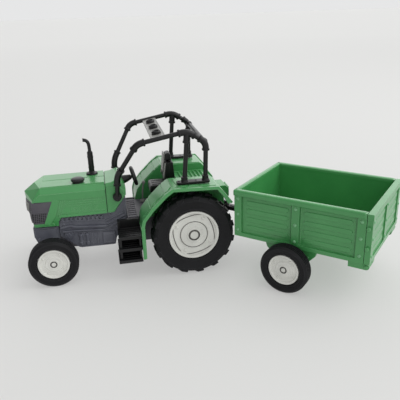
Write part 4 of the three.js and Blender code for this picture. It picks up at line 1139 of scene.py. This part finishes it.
def makeBox(look):
    box = cadCopy("trailer_box", trailerPlace, 0.18)
    for _, hand in sides:
        skin = look["wall"]
        root = hand * (skin - 0.6)
        for low, high, heights in ((look["front"] + 7.0, look["middle"] - 2.0, look["frontRibs"]),
                                   (look["middle"] + 6.6, look["rear"] - 2.2, look["rearRibs"])):
            for middle in heights:
                addRib(box, low, high, middle, look["ribTall"], root, hand * (skin + look["ribProud"]))
            for x in (low - 1.6, high + 1.2):
                addStrip(box, (x, 27.2), (x, 49.6), 0.45, root, hand * (skin + 0.4), 0.12)
        # the rivet heads take the paler second finish, a painted highlight
        for x in (look["front"], look["middle"], look["rear"]):
            for z in look["rivetRows"]:
                at = (x + look["post"] / 2, hand * (look["half"] - 0.4), z)
                addDome(box, look["rivet"], at, (0, hand, 0), 0.75, mark=1)
        addBlock(box, (gateHinge - 9.2, gateHinge - 1.7), (hand * 22.6, hand * 29.9), (22.4, 25.2), 0.3)
        rail = (hand * 27.7, hand * (look["half"] + 0.45))
        addBlock(box, (23.4, gateHinge - 1.7), rail, look["rail"], 1.15)
    across = Matrix.Rotation(math.pi / 2, 4, "Z")
    for middle in look["rearRibs"]:
        for low, high in ((-26.0, -4.0), (4.0, 26.0)):
            addRib(box, low, high, middle, look["ribTall"], -25.4, -24.3, across)
    addBlock(box, (24.0, 25.4), (-2.3, 2.3), (27.5, 49.4), 0.3)
    addBlock(box, (23.2, 26.5), (-look["half"], look["half"]), look["rail"], 1.15)
    for step in range(9):
        x = 31.5 + step * 7.9
        addBlock(box, (x - 0.5, x + 0.5), (-27.4, 27.4), (26.4, 26.95), 0.2)
    for x in (36.0, 49.0, 69.0, 85.0):
        addBlock(box, (x - 1.0, x + 1.0), (-22.0, 22.0), (23.7, 25.0), 0.3)
    for y in (-12.0, 12.0):
        addBlock(box, (40.5, gateHinge - 5.6), (y - 1.4, y + 1.4), (23.2, 25.0), 0.4)
    finishPiece("load_box", box, trailerPlace, "trailer", "green", "trailer_box", "rivetHighlightGreen")


makeBox(boxLook)


def makeGate(look):
    gate = cadCopy("tailgate", trailerPlace, 0.18)
    across = Matrix.Rotation(-math.pi / 2, 4, "Z")
    for middle in (46.0, 40.9, 35.6, 30.4):
        for low, high in ((-24.6, -4.2), (4.2, 24.6)):
            addRib(gate, low, high, middle, 2.7, gateHinge + 0.6, gateHinge + 1.45, across)
    # the rivet heads take the paler second finish, a painted highlight
    for y in (-28.4, 0.0, 28.4):
        for z in look["rivetRows"]:
            addDome(gate, look["rivet"], (gateHinge + 1.9, y, z), (1, 0, 0), 0.6, mark=1)
    for _, hand in sides:
        for z in (34.0, 45.0):
            addDome(gate, 1.1, (gateHinge, hand * 31.6, z), (0, hand, 0), 0.5)
    finishPiece("gate", gate, trailerPlace, "tailgate", "green", "tailgate", "rivetHighlightGreen")


makeGate(boxLook)

for word, hand in sides:
    skirt = cadCopy("trailer_skirt_" + word, trailerPlace, 0.25)
    addRod(skirt, 2.6, (trailerAxle, hand * 26.0, 14), (trailerAxle, hand * 29.5, 14), 28, soft=0.3)
    for away in (-1, 1):
        low, high = (trailerAxle + away * 10.6, 20.6), (trailerAxle + away * 4.2, 12.6)
        addStrip(skirt, low, high, 0.8, hand * 28.4, hand * 29.25, 0.2)
    finishPiece("skirt_" + word, skirt, trailerPlace, "trailer", "green", "trailer_skirt_" + word)
    bracket = cadCopy("gate_bracket_" + word, trailerPlace, 0.25)
    addDome(bracket, 0.7, (gateHinge - 5.6, hand * 29.6, 23.0), (0, hand, 0))
    finishPiece("bracket_" + word, bracket, trailerPlace, "trailer", "green", "gate_bracket_" + word)
    hinge = bmesh.new()
    addRod(hinge, 0.8, (gateHinge, hand * 19.2, 22.8), (gateHinge, hand * 30.0, 22.8), 20, soft=0.15)
    addDome(hinge, 1.15, (gateHinge, hand * 29.7, 22.8), (0, hand, 0), 0.5)
    finishPiece("hinge_pin_" + word, hinge, trailerPlace, "trailer", "green", "gate_pin_" + word)

drawbar = cadCopy("trailer_drawbar", trailerPlace, 0.25)
addBlock(drawbar, (4.6, 19.0), (-1.3, 1.3), (26.3, 29.7), 0.25)
finishPiece("towbar", drawbar, trailerPlace, "trailer", "black", "trailer_drawbar")
print("trailer made")

# floor, light and camera
floorMesh = bmesh.new()
bmesh.ops.create_grid(floorMesh, x_segments=1, y_segments=1, size=12.0)
floorData = bpy.data.meshes.new("floor")
floorMesh.to_mesh(floorData)
floorMesh.free()
studioFloor = bpy.data.objects.new("floor", floorData)
bpy.context.scene.collection.objects.link(studioFloor)
# the paper is painted darker near the object and paler far off, as painted shade of the floor, and glows
# evenly so that its shadows are lifted and the undersides lit
paperLook = {
    "near": ((0.345, 0.345, 0.338, 1.0), (0.355, 0.355, 0.348, 1.0)), "far": (0.41, 0.41, 0.402, 1.0),
    "fadeFrom": 0.25, "fadeTo": 2.5, "rough": 0.8, "glow": (1.0, 1.0, 0.985, 1.0), "glowLevel": 0.35,
}
paperMaterial = newMaterial("paper")
paper = Finish(paperMaterial.node_tree)
paperWhere = paper.node("ShaderNodeTexCoord", None, None, 3)
paperReach = paper.node("ShaderNodeVectorMath", {"operation": "LENGTH"}, {0: paperWhere}, 1)
nearTone = paper.blend(paper.noise(paperWhere, 3.0, 2.0), *paperLook["near"])
fade = paper.span(paperReach, paperLook["fadeFrom"], paperLook["fadeTo"])
paperShader = paper.node(
    "ShaderNodeBsdfPrincipled",
    None,
    {
        "Base Color": paper.blend(fade, nearTone, paperLook["far"]),
        "Roughness": paperLook["rough"],
        "Emission Color": paperLook["glow"],
        "Emission Strength": paperLook["glowLevel"],
    },
)
paper.node("ShaderNodeOutputMaterial", None, {"Surface": paperShader})
floorData.materials.append(paperMaterial)

# the room is brightest to the right and behind, and dim to the left
studio = {"middle": 0.66, "swing": 0.52, "back": 0.8, "seen": 0.8, "key": 3.0, "top": 0.6}
world = bpy.data.worlds.new("studio")
bpy.context.scene.world = world
world.use_nodes = True
room = Finish(world.node_tree)
direction = room.node("ShaderNodeTexCoord", None, None, 0)
lean = room.node(
    "ShaderNodeVectorMath", {"operation": "DOT_PRODUCT"}, {0: direction, 1: (0.88, -0.3, 0.36)}, 1
)
behind = room.node(
    "ShaderNodeVectorMath", {"operation": "DOT_PRODUCT"}, {0: direction, 1: (0.15, 0.92, 0.36)}, 1
)
dim = studio["middle"] - studio["swing"]
bright = studio["middle"] + studio["swing"]
level = room.span(lean, -1.0, 1.0, dim, bright) + room.span(behind, 0.68, 0.97, 0.0, studio["back"])
eye = room.node("ShaderNodeLightPath", None, None, 0)
shown = level * (1 - eye) + eye * studio["seen"]
glow = room.node("ShaderNodeBackground", None, {"Color": (0.992, 0.996, 1.0, 1.0), "Strength": shown})
room.node("ShaderNodeOutputWorld", None, {"Surface": glow})


def addLight(name, energy, size, at, aim):
    light = bpy.data.lights.new(name, "AREA")
    light.energy = energy
    light.shape = "RECTANGLE"
    light.size, light.size_y = size
    holder = bpy.data.objects.new(name, light)
    bpy.context.scene.collection.objects.link(holder)
    holder.location = at
    holder.rotation_euler = (Vector(aim) - Vector(at)).to_track_quat("-Z", "Y").to_euler()


addLight("key", studio["key"], (0.9, 0.7), (0.75, -0.15, 0.75), (0.0, 0.0, 0.03))
addLight("top", studio["top"], (1.3, 1.0), (0.0, 0.45, 1.0), (0.0, 0.0, 0.03))

shot = {
    "at": (-47.28, -300.8, 150.89), "yaw": 10.88, "pitch": 20.92, "roll": -1.79, "lens": 45.34,
}
cameraData = bpy.data.cameras.new("camera")
cameraData.lens = shot["lens"]
cameraData.sensor_width = 36.0
cameraData.clip_start = 0.01
cameraData.clip_end = 100.0
camera = bpy.data.objects.new("camera", cameraData)
bpy.context.scene.collection.objects.link(camera)
aimTurn = (
    Matrix.Rotation(math.radians(-shot["yaw"]), 4, "Z")
    @ Matrix.Rotation(math.radians(90 - shot["pitch"]), 4, "X")
    @ Matrix.Rotation(math.radians(shot["roll"]), 4, "Z")
)
camera.matrix_world = Matrix.Translation(tractorPlace @ Vector(shot["at"])) @ aimTurn
bpy.context.scene.camera = camera
bpy.context.scene.view_settings.view_transform = "Standard"
bpy.context.scene.view_settings.look = "None"

print("scene ready")
